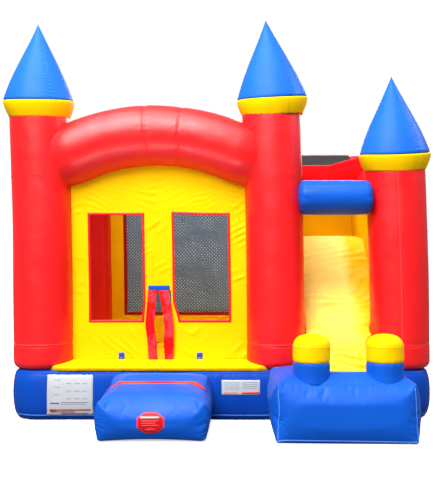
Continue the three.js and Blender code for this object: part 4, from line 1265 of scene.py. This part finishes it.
def inflate(obj, cap, pinned):
    """Blows a mesh up with cloth, lets no point move more than cap, and keeps the result."""
    group = obj.vertex_groups.new(name="pinned")
    for number in pinned:
        group.add([int(number)], 1.0, "REPLACE")
    start = places_of(obj.data)
    cloth = obj.modifiers.new("cloth", "CLOTH")
    settings = cloth.settings
    settings.vertex_group_mass = "pinned"
    settings.quality = 6
    settings.mass = 0.35
    settings.tension_stiffness = settings.compression_stiffness = CLOTH_STIFFNESS
    settings.shear_stiffness = CLOTH_STIFFNESS / 2
    settings.bending_stiffness = 0.6
    settings.use_pressure = True
    settings.uniform_pressure_force = CLOTH_PRESSURE
    settings.effector_weights.gravity = 0
    cloth.collision_settings.use_collision = False
    cloth.point_cache.frame_start = 1
    cloth.point_cache.frame_end = CLOTH_FRAMES
    scene = bpy.context.scene
    for number in range(1, CLOTH_FRAMES + 1):
        scene.frame_set(number)
    shape = obj.evaluated_get(bpy.context.evaluated_depsgraph_get()).to_mesh()
    moved = places_of(shape) - start
    obj.modifiers.remove(cloth)
    obj.vertex_groups.remove(group)
    scene.frame_set(1)
    length = np.linalg.norm(moved, axis=1, keepdims=True)
    move_to(obj.data, start + moved * np.minimum(1, cap / np.maximum(length, 1e-9)))


def subdivide(obj):
    """Smooths a mesh with a subdivision surface and keeps the result."""
    modifier = obj.modifiers.new("smooth", "SUBSURF")
    modifier.levels = modifier.render_levels = 1
    graph = bpy.context.evaluated_depsgraph_get()
    smooth = bpy.data.meshes.new_from_object(obj.evaluated_get(graph))
    obj.modifiers.remove(modifier)
    old = obj.data
    obj.data = smooth
    bpy.data.meshes.remove(old)
    for polygon in obj.data.polygons:
        polygon.use_smooth = True


def surface_finder(obj):
    """A function that drops points onto a mesh, giving the nearest places and normals."""
    mesh = obj.data
    tree = BVHTree.FromPolygons([v.co for v in mesh.vertices], [p.vertices for p in mesh.polygons])

    def find(points):
        places, normals = [], []
        for point in points:
            place, normal, _, _ = tree.find_nearest(Vector(point))
            if (Vector(point) - place).dot(normal) < -0.05:
                normal = -normal
            places.append(place)
            normals.append(normal)
        return np.array(places), np.array(normals)

    return find


def decal(name, find, corners, cells, lift, material, outline=None):
    """A thin sewn patch on a curved face. corners are (origin, u, v) before it is dropped on."""
    origin, u_way, v_way = (np.asarray(v, float) for v in corners)
    u, v = lattice(*(np.linspace(0, 1, count + 1) for count in cells))
    if outline is not None:
        u, v = outline(u, v)
    flat = origin + u[..., None] * u_way + v[..., None] * v_way
    places, normals = find(flat.reshape(-1, 3))
    front = (places + normals * lift).reshape(flat.shape)
    back = (places - normals * 0.002).reshape(flat.shape)
    return shell(name, front, back - front, material)


def octagon(u, v):
    """Bends the unit square into an octagon."""
    x, y = 2 * u - 1, 2 * v - 1
    angle = np.arctan2(y, x)
    eighth = math.pi / 4
    fold = (angle + eighth / 2) % eighth - eighth / 2
    radius = np.maximum(abs(x), abs(y)) / np.cos(fold)
    return 0.5 + 0.5 * radius * np.cos(angle), 0.5 + 0.5 * radius * np.sin(angle)


def add_step():
    low, high = box("entrance_step")
    inset = 0.032
    inner_low = low + (inset, inset, 0.004)
    inner_high = high - (inset, 0, 0)
    middle_x, half = (low[0] + high[0]) / 2, (high[0] - low[0]) / 2

    def crown(x, y):
        back = ease(y, low[1] + 0.05, low[1] + 0.45)
        rear = ease(y, high[1] - 0.32, high[1] - 0.02)
        return 0.360 + 0.045 * back + 0.072 * rear * (1 - 0.5 * (np.abs(x - middle_x) / half) ** 8)

    verts, faces = box_grid(inner_low, inner_high, 0.021, crown)
    pinned = held(verts, low, high)
    t = (verts[:, 2] - low[2]) / 0.42
    taper = 0.930 + 0.070 * np.sin(np.clip(t, 0, 1) * math.pi)
    verts[:, 0] = middle_x + (verts[:, 0] - middle_x) * taper
    span = (verts[:, 0] - middle_x) / half
    arch = 0.026 * (1 - span ** 2) * bell(verts[:, 1] - inner_low[1], 0.12)
    verts[:, 2] += arch * np.clip(1 - t * 2, 0, 1)
    return pad_out("entrance_step", verts, faces, pinned, 0.045, 0.08, 641)


def pucker(obj, left, right, seed):
    """Draws small gathers in along the upright corners and the top edge of a padded block."""
    mesh = obj.data
    places = places_of(mesh)
    normals = np.array([v.normal for v in mesh.vertices])
    x, y, z = places.T
    front = bell(y - y.min(), 0.16)
    corner = np.minimum(np.abs(x - left), np.abs(x - right))
    upright = creases(z / 0.045 + 0.8 * waves(places, 0.3, seed), 1.8)
    level = creases(x / 0.055 + 0.8 * waves(places, 0.3, seed + 1), 1.8)
    corners = bell(corner, 0.06) * upright * patches(places, 0.25, seed + 2, 0.4, 1, 1.2)
    edge = bell(z - (z.max() - 0.075), 0.05) * level
    edge *= patches(places, 0.25, seed + 3, 0.4, 1, 1.2)
    pull = front * (0.007 * corners + 0.006 * edge)
    move_to(mesh, places - normals * pull[:, None])


def held(verts, low, high):
    """The foot and the back of a padded block, which stay in place when it is blown up."""
    return (verts[:, 2] < low[2] + 0.010) | (verts[:, 1] > high[1] - 0.01)


def pad_out(node, verts, faces, pinned, cap, corner_inset, seed):
    """A padded block from a mesh: blown up, smoothed and gathered."""
    low, high = box(node)
    obj = piece(f"{node}_skin", verts, faces, BLUE, nodes=[node])
    inflate(obj, cap, np.flatnonzero(pinned))
    subdivide(obj)
    pucker(obj, low[0] + corner_inset, high[0] - corner_inset, seed)
    return surface_finder(obj)


def add_landing():
    """The padded block in front of the lane, with a well in its back half that the bed ends in."""
    low, high = box("slide_landing")
    lane_low, lane_high = box("slide_bed")
    inset = 0.040
    inner_low = low + (inset, inset, 0.004)
    inner_high = high - (inset, 0, 0)
    well = high[2] - 0.150
    well_front = lane_low[1] + 0.01

    def top(x, y):
        crown = 0.528 + 0.014 * ease(y, low[1] + 0.05, low[1] + 0.22)
        inside = ease(x, lane_low[0] - 0.05, lane_low[0] + 0.02)
        inside = inside * ease(-x, -lane_high[0] - 0.05, -lane_high[0] + 0.02)
        inside = inside * ease(y, well_front - 0.09, well_front)
        return crown + (well - crown) * inside

    verts, faces = box_grid(inner_low, inner_high, 0.023, top)
    pinned = held(verts, low, high)
    middle_x = (low[0] + high[0]) / 2
    t = np.clip((verts[:, 2] - low[2]) / 0.5, 0, 1)
    taper = 0.962 + 0.038 * np.sin(t * math.pi * 0.8)
    verts[:, 0] = middle_x + (verts[:, 0] - middle_x) * taper
    forward = ease(-verts[:, 1], -inner_low[1] - 0.5, -inner_low[1])
    share = (verts[:, 0] - low[0]) / (high[0] - low[0])
    verts[:, 1] -= forward * (0.045 + 0.040 * share) * (1 - 0.6 * t)
    return pad_out("slide_landing", verts, faces, pinned, 0.05, 0.09, 651)


POST_SIDES = 80
POST_DOME = 0.115


def post_rings(node, heights, radii, hem, seed):
    """Rings of an upright soft tube, gathered at the height of its hem."""
    angle = turns(POST_SIDES)
    spot = on_tube(angle, half_width(node), heights)
    grid = radii[:, None] + 0.002 * waves(spot, 0.25, seed)
    pleat = folds(angle[None] * 18 / TAU + waves(spot, 0.3, seed + 1))
    grid -= 0.006 * bell(heights[:, None] - hem, 0.03) * (1 - pleat)
    return turn_rings(centre(node), np.maximum(grid, 0.002), heights, POST_SIDES)


def add_posts():
    for seed, side in ((601, "left"), (611, "right")):
        post, cap = f"landing_post_{side}", f"landing_post_cap_{side}"
        low, high = box(post)
        cap_low, cap_high = box(cap)
        radius = half_width(post)
        foot = low[2] - 0.05
        heights = breaks([foot, high[2]], 0.008)
        radii = radius - 0.006 * bell(heights - high[2], 0.012)
        radii += 0.006 * bell(heights - foot, 0.05)
        rings = post_rings(post, heights, radii, high[2], seed)
        loft(f"{post}_skin", rings, BLUE, nodes=[post])
        shoulder = cap_high[2] - POST_DOME
        flat = breaks([cap_low[2], shoulder], 0.008)
        turn = np.linspace(0, math.pi / 2, 22)[1:]
        heights = np.concatenate([flat, shoulder + POST_DOME * np.sin(turn)])
        curve = np.abs(np.cos(turn)) ** 0.72
        radii = np.concatenate([np.full(len(flat), radius), radius * curve])
        radii -= 0.006 * bell(heights - cap_low[2], 0.012)
        rings = post_rings(post, heights, radii, cap_low[2], seed)
        loft(f"{cap}_skin", rings, YELLOW, nodes=[cap])
        seam = nearest(heights, cap_high[2] - POST_DOME * 0.92)
        points, normals = tube_surface_path(rings, row=seam)
        ribbon(f"{cap}_seam", points, normals, 0.006, 0.0018, YELLOW_SEAM)


# ---------------------------------------------------------------- slide
CREST_R = 0.20
BED_CELL = 0.0125
RAMP_STEPS = 4


def lane_path():
    """(y, z) down the slide bed, from behind the crest to the end of the run-out."""
    low, high = box("slide_bed")
    crest_z = high[2]
    end_y, end_z = low[1] + 0.33, low[2] + 0.099
    back = ((0.005, -0.10), (0.02, -0.03), (0.06, -0.006), (0.10, 0))
    points = [(high[1] - behind, crest_z + rise) for behind, rise in back]
    for turn in np.linspace(0, 0.64, 14):
        drop = CREST_R * (1 - math.cos(turn))
        points.append((high[1] - 0.13 - CREST_R * math.sin(turn), crest_z - drop))
    start_y, start_z = points[-1]
    for t in np.linspace(0, 1, 120)[1:]:
        sag = 0.02 * math.sin(math.pi * t)
        points.append((start_y + (end_y - start_y) * t, start_z + (end_z - start_z) * t - sag))
    for t in np.linspace(0, 1, 20)[1:]:
        points.append((end_y + (low[1] - end_y) * t, end_z - 0.012 * t))
    return np.array(points)


def bed_folds(x, down, share):
    """How far the bed's skin stands up: slanted folds that deepen down the slide."""
    flat = on_floor(x, down)
    tilt = (down + 0.45 * (x - x.min())) / 0.125
    crease = creases(tilt + 0.9 * waves(flat, 0.6, 611), 2.0)
    crease *= patches(flat, 0.6, 613, 0.55, 0.6, 1.3)
    fine = creases((down + 0.7 * x) / 0.07 + 1.2 * waves(flat, 0.4, 612), 2.4)
    fine *= patches(flat, 0.35, 614, 0, 1, 1)
    strength = ease(down, 0.25, 0.7) * (1 + 0.5 * ease(down, 0.9, 1.6))
    relief = strength * (0.036 * crease + 0.015 * fine + 0.010 * waves(flat, 0.9, 615))
    return relief - 0.03 * np.abs(2 * share - 1) ** 6


def add_bed():
    low, high = box("slide_bed")
    path = lane_path()
    length = path_length(path)
    s = breaks([0, length[-1]], BED_CELL)
    places = [np.interp(s, length, path[:, k]) for k in (0, 1)]
    y, z = (np.concatenate([line[:4], smooth_line(line), line[-4:]]) for line in places)
    tangent = unit(np.stack([np.gradient(y), np.gradient(z)], axis=1))
    up_y, up_z = tangent[:, 1], -tangent[:, 0]
    x, down = lattice(breaks([low[0], high[0]], BED_CELL), s)
    share = (x - low[0]) / (high[0] - low[0])
    relief = bed_folds(x, down, share)
    behind = ease(y, -1.12, -0.82)[None]
    wide = x - 0.063 * (1 - share) + share * (0.145 * behind - 0.025)
    front = np.stack([wide, y + up_y * relief, z + up_z * relief], axis=-1)
    depth = np.stack(np.broadcast_arrays(0 * x, -up_y * 0.03, -up_z * 0.03), axis=-1)
    shell("slide_bed_skin", front, depth, SLIDE_YELLOW, nodes=["slide_bed"])


def add_back_pad():
    """The padded yellow wall that closes the platform behind the slide's crest."""
    x, z = lattice(breaks([0.87, 1.76], 0.02), breaks([1.70, 1.76, 2.60, 2.66], 0.015))
    near = np.minimum.reduce([x - x.min(), x.max() - x, z - z.min(), z.max() - z])
    spot = on_wall(x, z)
    swell = 0.045 * (1 - rounded(near / 0.10)) + 0.008 * waves(spot, 0.5, 641)
    swell += 0.004 * creases((z + 0.2 * x) / 0.13 + waves(spot, 0.4, 642), 2)
    front = np.stack([x, BACK_Y - COLUMN_R - 0.02 - swell, z], axis=-1)
    shell("platform_back_pad", front, (0, 0.02, 0), YELLOW)


def add_platform():
    """The block behind the crest, a box pressed towards a ball so that its edges are round."""
    low, high = box("slide_platform")
    high = high - (0.01, 0.04, 0)
    verts, faces = box_grid((-1, -1, -1), (1, 1, 1), 0.075)
    reach = np.abs(verts).max(axis=1, keepdims=True)
    verts *= reach / (np.abs(verts) ** 14).sum(axis=1, keepdims=True) ** (1 / 14)
    verts = (low + high) / 2 + verts * (high - low) / 2
    verts += 0.004 * waves(verts, 0.4, 621)[:, None]
    subdivide(piece("slide_platform_skin", verts, faces, YELLOW, nodes=["slide_platform"]))


def ramp_outline(low, high):
    """(x, z) round the stepped side of the climbing ramp, from its foot below the top step."""
    run, rise = high[0] - low[0], high[2] - low[2] - 0.06
    points = [(high[0] - 0.004, low[2]), (high[0] - 0.004, high[2] - 0.03)]
    for k in range(RAMP_STEPS, 0, -1):
        top_z = low[2] + 0.06 + rise * k / RAMP_STEPS
        x = low[0] + run * (k - 1) / RAMP_STEPS
        points.append((x + run / RAMP_STEPS, top_z - 0.004))
        for turn in np.linspace(0, math.pi / 2, 7):
            nose = 0.06 * math.cos(turn) - 0.06
            points.append((x + 0.07 - 0.06 * math.sin(turn), top_z + nose))
        points += [(x + 0.012, top_z - rise / RAMP_STEPS * share) for share in (0.35, 0.6, 0.85)]
    points.append((low[0] + 0.01, low[2]))
    return np.array(points)


def add_ramp():
    low, high = box("climbing_ramp")
    outline = ramp_outline(low, high)
    middle = outline.mean(axis=0)
    rings = []
    for y in breaks([low[1], low[1] + 0.06, high[1] - 0.06, high[1]], 0.03):
        shrink = 1 - 0.05 * rounded(min(y - low[1], high[1] - y) / 0.07)
        x, z = (middle + (outline - middle) * shrink).T
        rings.append(np.column_stack([x, np.full(len(x), y), z]))
    rings = np.array(rings)
    rings += 0.003 * waves(rings, 0.3, 631)[..., None]
    loft("climbing_ramp_skin", rings, YELLOW, nodes=["climbing_ramp"])


# ---------------------------------------------------------------- seams and sewn patches
def sewn_line(name, find, corners, width, height, material):
    """A sewn tape on a surface, through the places nearest to the corners and between them."""
    return ribbon(name, *find(path_through(corners)), width, height, material)


def path_through(corners, step=0.02):
    """A path through corners with points at most step apart."""
    corners = np.asarray(corners, float)
    legs = [corners[:1]]
    for one, two in zip(corners, corners[1:]):
        count = max(1, math.ceil(np.linalg.norm(two - one) / step))
        legs.append(one + (two - one) * (np.arange(1, count + 1) / count)[:, None])
    return np.concatenate(legs)


def text_bars(name, find, corners, rows, material, lift):
    """Plain bars standing for lines of print. rows are (u0, u1, v0, v1) on the patch."""
    origin, u_way, v_way = (np.asarray(v, float) for v in corners)
    bars = []
    for u0, u1, v0, v1 in rows:
        place = origin + u_way * u0 + v_way * v0
        bar = (place, u_way * (u1 - u0), v_way * (v1 - v0))
        bars.append(decal(f"{name}_bar", find, bar, (6, 1), lift, material))
    join(name, bars)


def join(name, pieces):
    """Makes one object of several on the same body and with the same material."""
    first = pieces[0]
    work = bmesh.new()
    for other in pieces:
        work.from_mesh(other.data)
    work.to_mesh(first.data)
    work.free()
    for other in pieces[1:]:
        mesh = other.data
        bpy.data.objects.remove(other)
        bpy.data.meshes.remove(mesh)
    first.name = first.data.name = name


SIGN_MIDDLE = (-0.601, 0.190)
SIGN_SIZE = 0.244


def sign_square(face_y, scale):
    half = SIGN_SIZE * scale / 2
    origin = (SIGN_MIDDLE[0] - half, face_y, SIGN_MIDDLE[1] - half)
    return origin, (2 * half, 0, 0), (0, 0, 2 * half)


def add_step_trim(find):
    low, high = box("entrance_step")
    middle, front = (low[0] + high[0]) / 2, low[1] + 0.045
    left, right = low[0] + 0.060, high[0] - 0.060
    rear, seam_y = high[1] - 0.1, high[1] - 0.045
    foot = [(left, rear, 0.03), (left, front, 0.03), (right, front, 0.03), (right, rear, 0.03)]
    sewn_line("step_foot_seam", find, foot, 0.014, 0.004, HIGHLIT_BLUE_SEAM)
    arch = [(left - 0.03, seam_y, 0.10), (left - 0.03, seam_y, 0.30), (left + 0.06, seam_y, 0.46)]
    arch += [(middle, seam_y, 0.52)] + [(2 * middle - x, y, z) for x, y, z in arch[::-1]]
    sewn_line("step_rear_seam", find, arch, 0.012, 0.003, HIGHLIT_BLUE_SEAM)
    across = np.linspace(low[0] + 0.055, high[0] - 0.055, 60)
    bend = ((across - middle) / (high[0] - middle)) ** 4
    points = np.stack([across, -1.80 - 0.13 * bend, 0.52 - 0.08 * bend], axis=1)
    ribbon("step_red_band", *find(points), 0.130, 0.004, RED)
    face_y = low[1] - 0.05
    border, field = sign_square(face_y, 1.0), sign_square(face_y, 0.88)
    decal("step_sign_border", find, border, (24, 24), 0.0025, RED_SEAM, octagon)
    decal("step_sign", find, field, (24, 24), 0.0045, SIGN_RED, octagon)
    text_bars("step_sign_title", find, field, [(0.08, 0.86, 0.70, 0.80)], WHITE, 0.0065)
    bars = []
    for k in range(4):
        bottom = 0.57 - 0.075 * k
        bars.append((0.10 + 0.02 * (k % 2), 0.86 - 0.07 * (k % 3), bottom, bottom + 0.035))
    bars += [(0.40, 0.62, 0.20, 0.235), (0.28, 0.74, 0.12, 0.155)]
    text_bars("step_sign_lines", find, field, bars, RED_SEAM, 0.0065)


def add_landing_trim(find):
    low, high = box("slide_landing")
    left, right, front = low[0] + 0.062, high[0] - 0.062, low[1] - 0.06
    rear, seam_y = high[1] - 0.1, high[1] - 0.05
    foot = [(left, rear, 0.02), (left, front, 0.02), (right, front, 0.02), (right, rear, 0.02)]
    sewn_line("landing_foot_seam", find, foot, 0.014, 0.004, HIGHLIT_BLUE_SEAM)
    for side, x in (("left", left - 0.03), ("right", right + 0.03)):
        corner = [(x, front, z) for z in (0.03, 0.25, 0.49)]
        sewn_line(f"landing_{side}_corner_seam", find, corner, 0.010, 0.003, HIGHLIT_BLUE_SEAM)
    seam = [(low[0] + 0.04, seam_y, z) for z in (0.10, 0.30, 0.46)]
    seam.append((low[0] + 0.12, seam_y, 0.56))
    sewn_line("landing_rear_seam", find, seam, 0.012, 0.003, HIGHLIT_BLUE_SEAM)


PANEL_LIFT = 0.003
PRINT_LIFT = 0.0045
# print on the two notice panels, as (u0, u1, v0, v1) on each
LARGE_HEADING = (
    (0.05, 0.94, 0.135, 0.165), (0.08, 0.60, 0.085, 0.110), (0.30, 0.88, 0.035, 0.060),
)
SMALL_HEADING = ((0.53, 0.97, 0.08, 0.20), (0.05, 0.40, 0.12, 0.17))


def add_base_patches(find):
    face_y = box("base_skirt")[0][1] - 0.05
    corners = ((-1.742, face_y, 0.035), (0.456, 0, 0), (0, 0, 0.462))
    decal("notice_panel_large", find, corners, (24, 24), PANEL_LIFT, WHITE)
    rows = []
    for k in range(6):
        for column, width in ((0.14, 0.12), (0.42, 0.09), (0.60, 0.11), (0.78, 0.09)):
            if (k + round(column * 10)) % 2:
                top = 0.86 - 0.085 * k
                rows.append((column, column + width, top - 0.016, top))
    rows += [(0.08, 0.24, 0.30, 0.36), (0.30, 0.90, 0.335, 0.355), (0.30, 0.84, 0.295, 0.315)]
    text_bars("notice_panel_large_print", find, corners, rows, GREY_INK, PRINT_LIFT)
    text_bars("notice_panel_large_heading", find, corners, LARGE_HEADING, DARK_RED, PRINT_LIFT)
    corners = ((0.004, face_y, 0.268), (0.388, 0, 0), (0, 0, 0.160))
    decal("notice_panel_small", find, corners, (20, 10), PANEL_LIFT, WHITE)
    text_bars("notice_panel_small_heading", find, corners, SMALL_HEADING, RED_SEAM, PRINT_LIFT)
    rows = [(0.06, 0.46, 0.80 - 0.14 * k, 0.84 - 0.14 * k) for k in range(4)]
    rows += [(0.55, 0.93, 0.82 - 0.13 * k, 0.86 - 0.13 * k) for k in range(4)]
    text_bars("notice_panel_small_print", find, corners, rows, GREY_INK, PRINT_LIFT)


# ---------------------------------------------------------------- blower, zip and anchors
STITCH_RISE = 0.0012
ANCHORS = ("left_front", "left_back", "right_front", "right_back")


SLEEVE_SIDES = 88


def add_sleeve():
    """The air inlet, a soft tube gathered under a strap where it grips the blower."""
    low, high = box("inflation_sleeve")
    x, _, z = (low + high) / 2
    radius = half_width("inflation_sleeve")
    points = straight((x, low[1] - 0.02, z), (x, high[1], z), 0.008)
    rings = path_rings(points, np.full((len(points), SLEEVE_SIDES), radius), SLEEVE_SIDES)
    gather = folds(turns(SLEEVE_SIDES)[None] * 22 / TAU + 1.2 * waves(rings, 0.3, 701))
    grip = high[1] - 0.045
    gap = points[:, 1][:, None] - grip
    grid = radius + 0.004 * waves(rings, 0.25, 702) - 0.004
    grid -= 0.012 * bell(gap, 0.05) * (1 - gather) + 0.006 * bell(gap, 0.03)
    outer = path_rings(points, grid, SLEEVE_SIDES)
    inner = path_rings(points[::-1], grid[::-1] - 0.006, SLEEVE_SIDES)
    loop = np.concatenate([outer, inner])
    loft("inflation_sleeve_skin", loop, BLUE, closed=True, nodes=["inflation_sleeve"])
    strap, normals = tube_surface_path(outer, row=nearest(points[:, 1], grip))
    ribbon("sleeve_strap", strap, normals, 0.028, 0.003, WEBBING)
    tail = ((0.10, 0.0, 0.10), (0.15, 0.0, 0.02), (0.155, 0.01, -0.09))
    points = path_through(np.array(tail) + (x, grip, z), 0.01)
    normals = np.tile((0, -1.0, 0.1), (len(points), 1))
    ribbon("sleeve_strap_tail", points, normals, 0.026, 0.002, WEBBING)


ZIP_TOOTH = 0.006
BRICK_FACES = (
    (0, 1, 3, 2), (4, 6, 7, 5), (0, 4, 5, 1), (2, 3, 7, 6), (0, 2, 6, 4), (1, 5, 7, 3),
)


def add_zip():
    """Teeth set to and fro along the middle of the tape, and a row of stitches on each side."""
    low, high = box("zip_tape")
    middle_z, face = (low[2] + high[2]) / 2, high[1]
    verts, faces = [], []
    places = np.arange(low[0] + 0.012, high[0] - 0.012, ZIP_TOOTH * 1.5)
    for number, x in enumerate(places):
        z = middle_z + (0.0022 if number % 2 else -0.0022)
        faces += [[len(verts) + k for k in brick_face] for brick_face in BRICK_FACES]
        for dx in (-0.5, 0.5):
            for dy, size in ((-0.0008, ZIP_TOOTH), (0.0022, ZIP_TOOTH * 0.7)):
                verts += [(x + dx * size, face + dy, z + dz * size) for dz in (-0.5, 0.5)]
    piece("zip_teeth", verts, faces, GREY, smooth=False)
    for side, z in (("upper", middle_z + 0.024), ("lower", middle_z - 0.024)):
        path = path_through([(low[0] + 0.01, face, z), (high[0] - 0.01, face, z)], 0.012)
        dashes(f"zip_stitch_{side}", path, (0, 1, 0), 0.0016)


def dashes(name, points, normal, width):
    """A row of stitches along a path, each a low ridge of three cross rows."""
    normal = np.array(normal, float)
    foot = normal * 0.001
    verts, faces = [], []
    for start, after in zip(points, points[1:]):
        end = start + (after - start) * 0.62
        side = np.cross(unit(end - start), normal) * width / 2
        base = len(verts)
        for place, rise in ((start, 0.3), ((start + end) / 2, 1.2), (end, 0.3)):
            ridge = place + normal * STITCH_RISE * rise
            verts += [place - side - foot, ridge, place + side - foot]
        faces += [(base + a, base + a + 1, base + a + 4, base + a + 3) for a in (0, 1, 3, 4)]
        faces += [(base, base + 3, base + 5, base + 2), (base + 3, base + 6, base + 8, base + 5),
                  (base, base + 2, base + 1), (base + 6, base + 7, base + 8)]
    return piece(name, verts, faces, STITCH)


def add_anchor_stitches():
    """A stitched box with one diagonal on each anchor strap."""
    for anchor in ANCHORS:
        low, high = box(f"anchor_strap_{anchor}")
        on_left = anchor.startswith("left")
        x = low[0] if on_left else high[0]
        y0, y1 = low[1] + 0.006, high[1] - 0.006
        z0, z1 = high[2] - 0.055, high[2] - 0.006
        loop = [(x, y0, z0), (x, y1, z0), (x, y1, z1), (x, y0, z1), (x, y0, z0), (x, y1, z1)]
        normal = (-1 if on_left else 1, 0, 0)
        dashes(f"anchor_stitches_{anchor}", path_through(loop, 0.006), normal, 0.0018)


def dress_hardware():
    """Gives the CAD pieces that keep their own shape their finish, and smooth shading over
    gentle edges only."""
    dress = {
        CASING: ["blower_housing"],
        BLACK: ["blower_cover", "blower_motor", "power_cord", "rocker_switch"],
        GREY: ["blower_impeller"],
        STEEL: ["zip_slider", *(f"anchor_ring_{anchor}" for anchor in ANCHORS)],
        WEBBING: ["zip_tape", *(f"anchor_strap_{anchor}" for anchor in ANCHORS)],
        YELLOW: ["base_baffles"],
    }
    for material, nodes in dress.items():
        for node in nodes:
            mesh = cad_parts[node].data
            mesh.materials.clear()
            mesh.materials.append(material)
            for polygon in mesh.polygons:
                polygon.use_smooth = True
            mesh.set_sharp_from_angle(angle=math.radians(32))


# ---------------------------------------------------------------- build
add_columns()
add_turrets()
add_arch()
add_beams()
add_lane_crossings()
add_front_wall()
add_window_trims()
add_net_walls()
add_roof_nets()
add_puffed_walls()
add_base()
add_floor()
add_apron()
add_entrance()
add_step_trim(add_step())
add_landing_trim(add_landing())
add_base_patches(surface_finder(bpy.data.objects["base_skirt_skin"]))
add_posts()
add_bed()
add_platform()
add_ramp()
add_back_pad()
add_sleeve()
add_zip()
add_anchor_stitches()
dress_hardware()


# ---------------------------------------------------------------- stage
HORIZON = 0.16
ZENITH = 0.63
PAPER = 1.05
PAPER_WHITE = (1, 1, 1, 1)
FLOOR_REACH = 60
# place, target, size, power and spread in degrees of each light
LIGHTS = {
    "sky_panel": ((-1.5, -3.5, 8.5), (-0.3, -0.6, 1.5), (7, 6), 670, 180),
    "key_panel": ((-3.6, -10.0, 11.0), (0, -1, 1.5), (9, 9), 2750, 180),
    "platform_panel": ((1.26, 0.0, 2.36), (1.26, 1.1, 2.1), (0.5, 0.2), 3.2, 180),
    "room_panel": ((ROOM_X, 0.25, 5.4), (ROOM_X, 0.15, 0.0), (1.5, 1.1), 10, 36),
    "back_panel": ((3.0, 9.5, 6.0), (0, 1, 1.5), (7, 5), 800, 180),
    "arch_panel": ((ROOM_X, -2.5, 1.5), (ROOM_X, -1.45, 3.0), (1.8, 0.3), 2.4, 70),
    "side_strip": ((10.0, 0.5, 9.0), (0, -1, 3.2), (2.5, 2.5), 600, 180),
}
LENS = 52.1
LENS_SHIFT = (-0.031, 0.050)
CAMERA_PLACE = (0.168, FRONT_Y - 7.30, 1.58)


def add_stage():
    """A pale paper floor, which the camera sees brighter than the light it gives back."""
    floor = bpy.data.meshes.new("studio_floor")
    square = ((-1, -1), (1, -1), (1, 1), (-1, 1))
    corners = [(x * FLOOR_REACH, y * FLOOR_REACH, 0) for x, y in square]
    floor.from_pydata(corners, [], [(0, 1, 2, 3)])
    obj = bpy.data.objects.new("studio_floor", floor)
    bpy.context.scene.collection.objects.link(obj)
    graph = Graph("studio_floor")
    seen = graph.add("ShaderNodeLightPath").outputs["Is Camera Ray"]
    graph.shade(Base_Color=graph.mix(seen, (0.13, 0.13, 0.13, 1), (0.93, 0.93, 0.93, 1)))
    graph.shade(Roughness=0.9, Emission_Color=PAPER_WHITE)
    graph.shade(Emission_Strength=graph.math("MULTIPLY", seen, 0.62))
    floor.materials.append(graph.material)


def add_lights():
    for name, (place, target, size, power, spread) in LIGHTS.items():
        data = bpy.data.lights.new(name, "AREA")
        data.shape = "RECTANGLE"
        data.size, data.size_y = size
        data.energy = power
        data.spread = math.radians(spread)
        obj = bpy.data.objects.new(name, data)
        obj.location = place
        aim = Vector(target) - Vector(place)
        obj.rotation_mode = "QUATERNION"
        obj.rotation_quaternion = aim.to_track_quat("-Z", "Y")
        obj.visible_camera = False
        bpy.context.scene.collection.objects.link(obj)


def add_world():
    """The camera sees white paper; everything else sees a sky that is brighter overhead."""
    world = bpy.data.worlds.new("studio_world")
    bpy.context.scene.world = world
    world.use_nodes = True
    nodes, links = world.node_tree.nodes, world.node_tree.links
    nodes.clear()
    output = nodes.new("ShaderNodeOutputWorld")
    split = nodes.new("ShaderNodeSeparateXYZ")
    sky = nodes.new("ShaderNodeMapRange")
    light, paper = (nodes.new("ShaderNodeBackground") for _ in range(2))
    mix = nodes.new("ShaderNodeMixShader")
    sky.inputs["From Min"].default_value = -0.2
    sky.inputs["To Min"].default_value = HORIZON
    sky.inputs["To Max"].default_value = ZENITH
    light.inputs["Color"].default_value = paper.inputs["Color"].default_value = PAPER_WHITE
    paper.inputs["Strength"].default_value = PAPER
    for source, socket in (
        (nodes.new("ShaderNodeTexCoord").outputs["Generated"], split.inputs[0]),
        (split.outputs["Z"], sky.inputs["Value"]),
        (sky.outputs["Result"], light.inputs["Strength"]),
        (nodes.new("ShaderNodeLightPath").outputs["Is Camera Ray"], mix.inputs[0]),
        (light.outputs[0], mix.inputs[1]),
        (paper.outputs[0], mix.inputs[2]),
        (mix.outputs[0], output.inputs[0]),
    ):
        links.new(source, socket)


def add_camera():
    data = bpy.data.cameras.new("camera")
    data.lens = LENS
    data.shift_x, data.shift_y = LENS_SHIFT
    data.clip_end = 200
    obj = bpy.data.objects.new("camera", data)
    obj.location = CAMERA_PLACE
    obj.rotation_euler = (math.pi / 2, 0, 0)
    bpy.context.scene.collection.objects.link(obj)
    bpy.context.scene.camera = obj


add_stage()
add_world()
add_lights()
add_camera()
bpy.context.scene.view_settings.view_transform = "Standard"
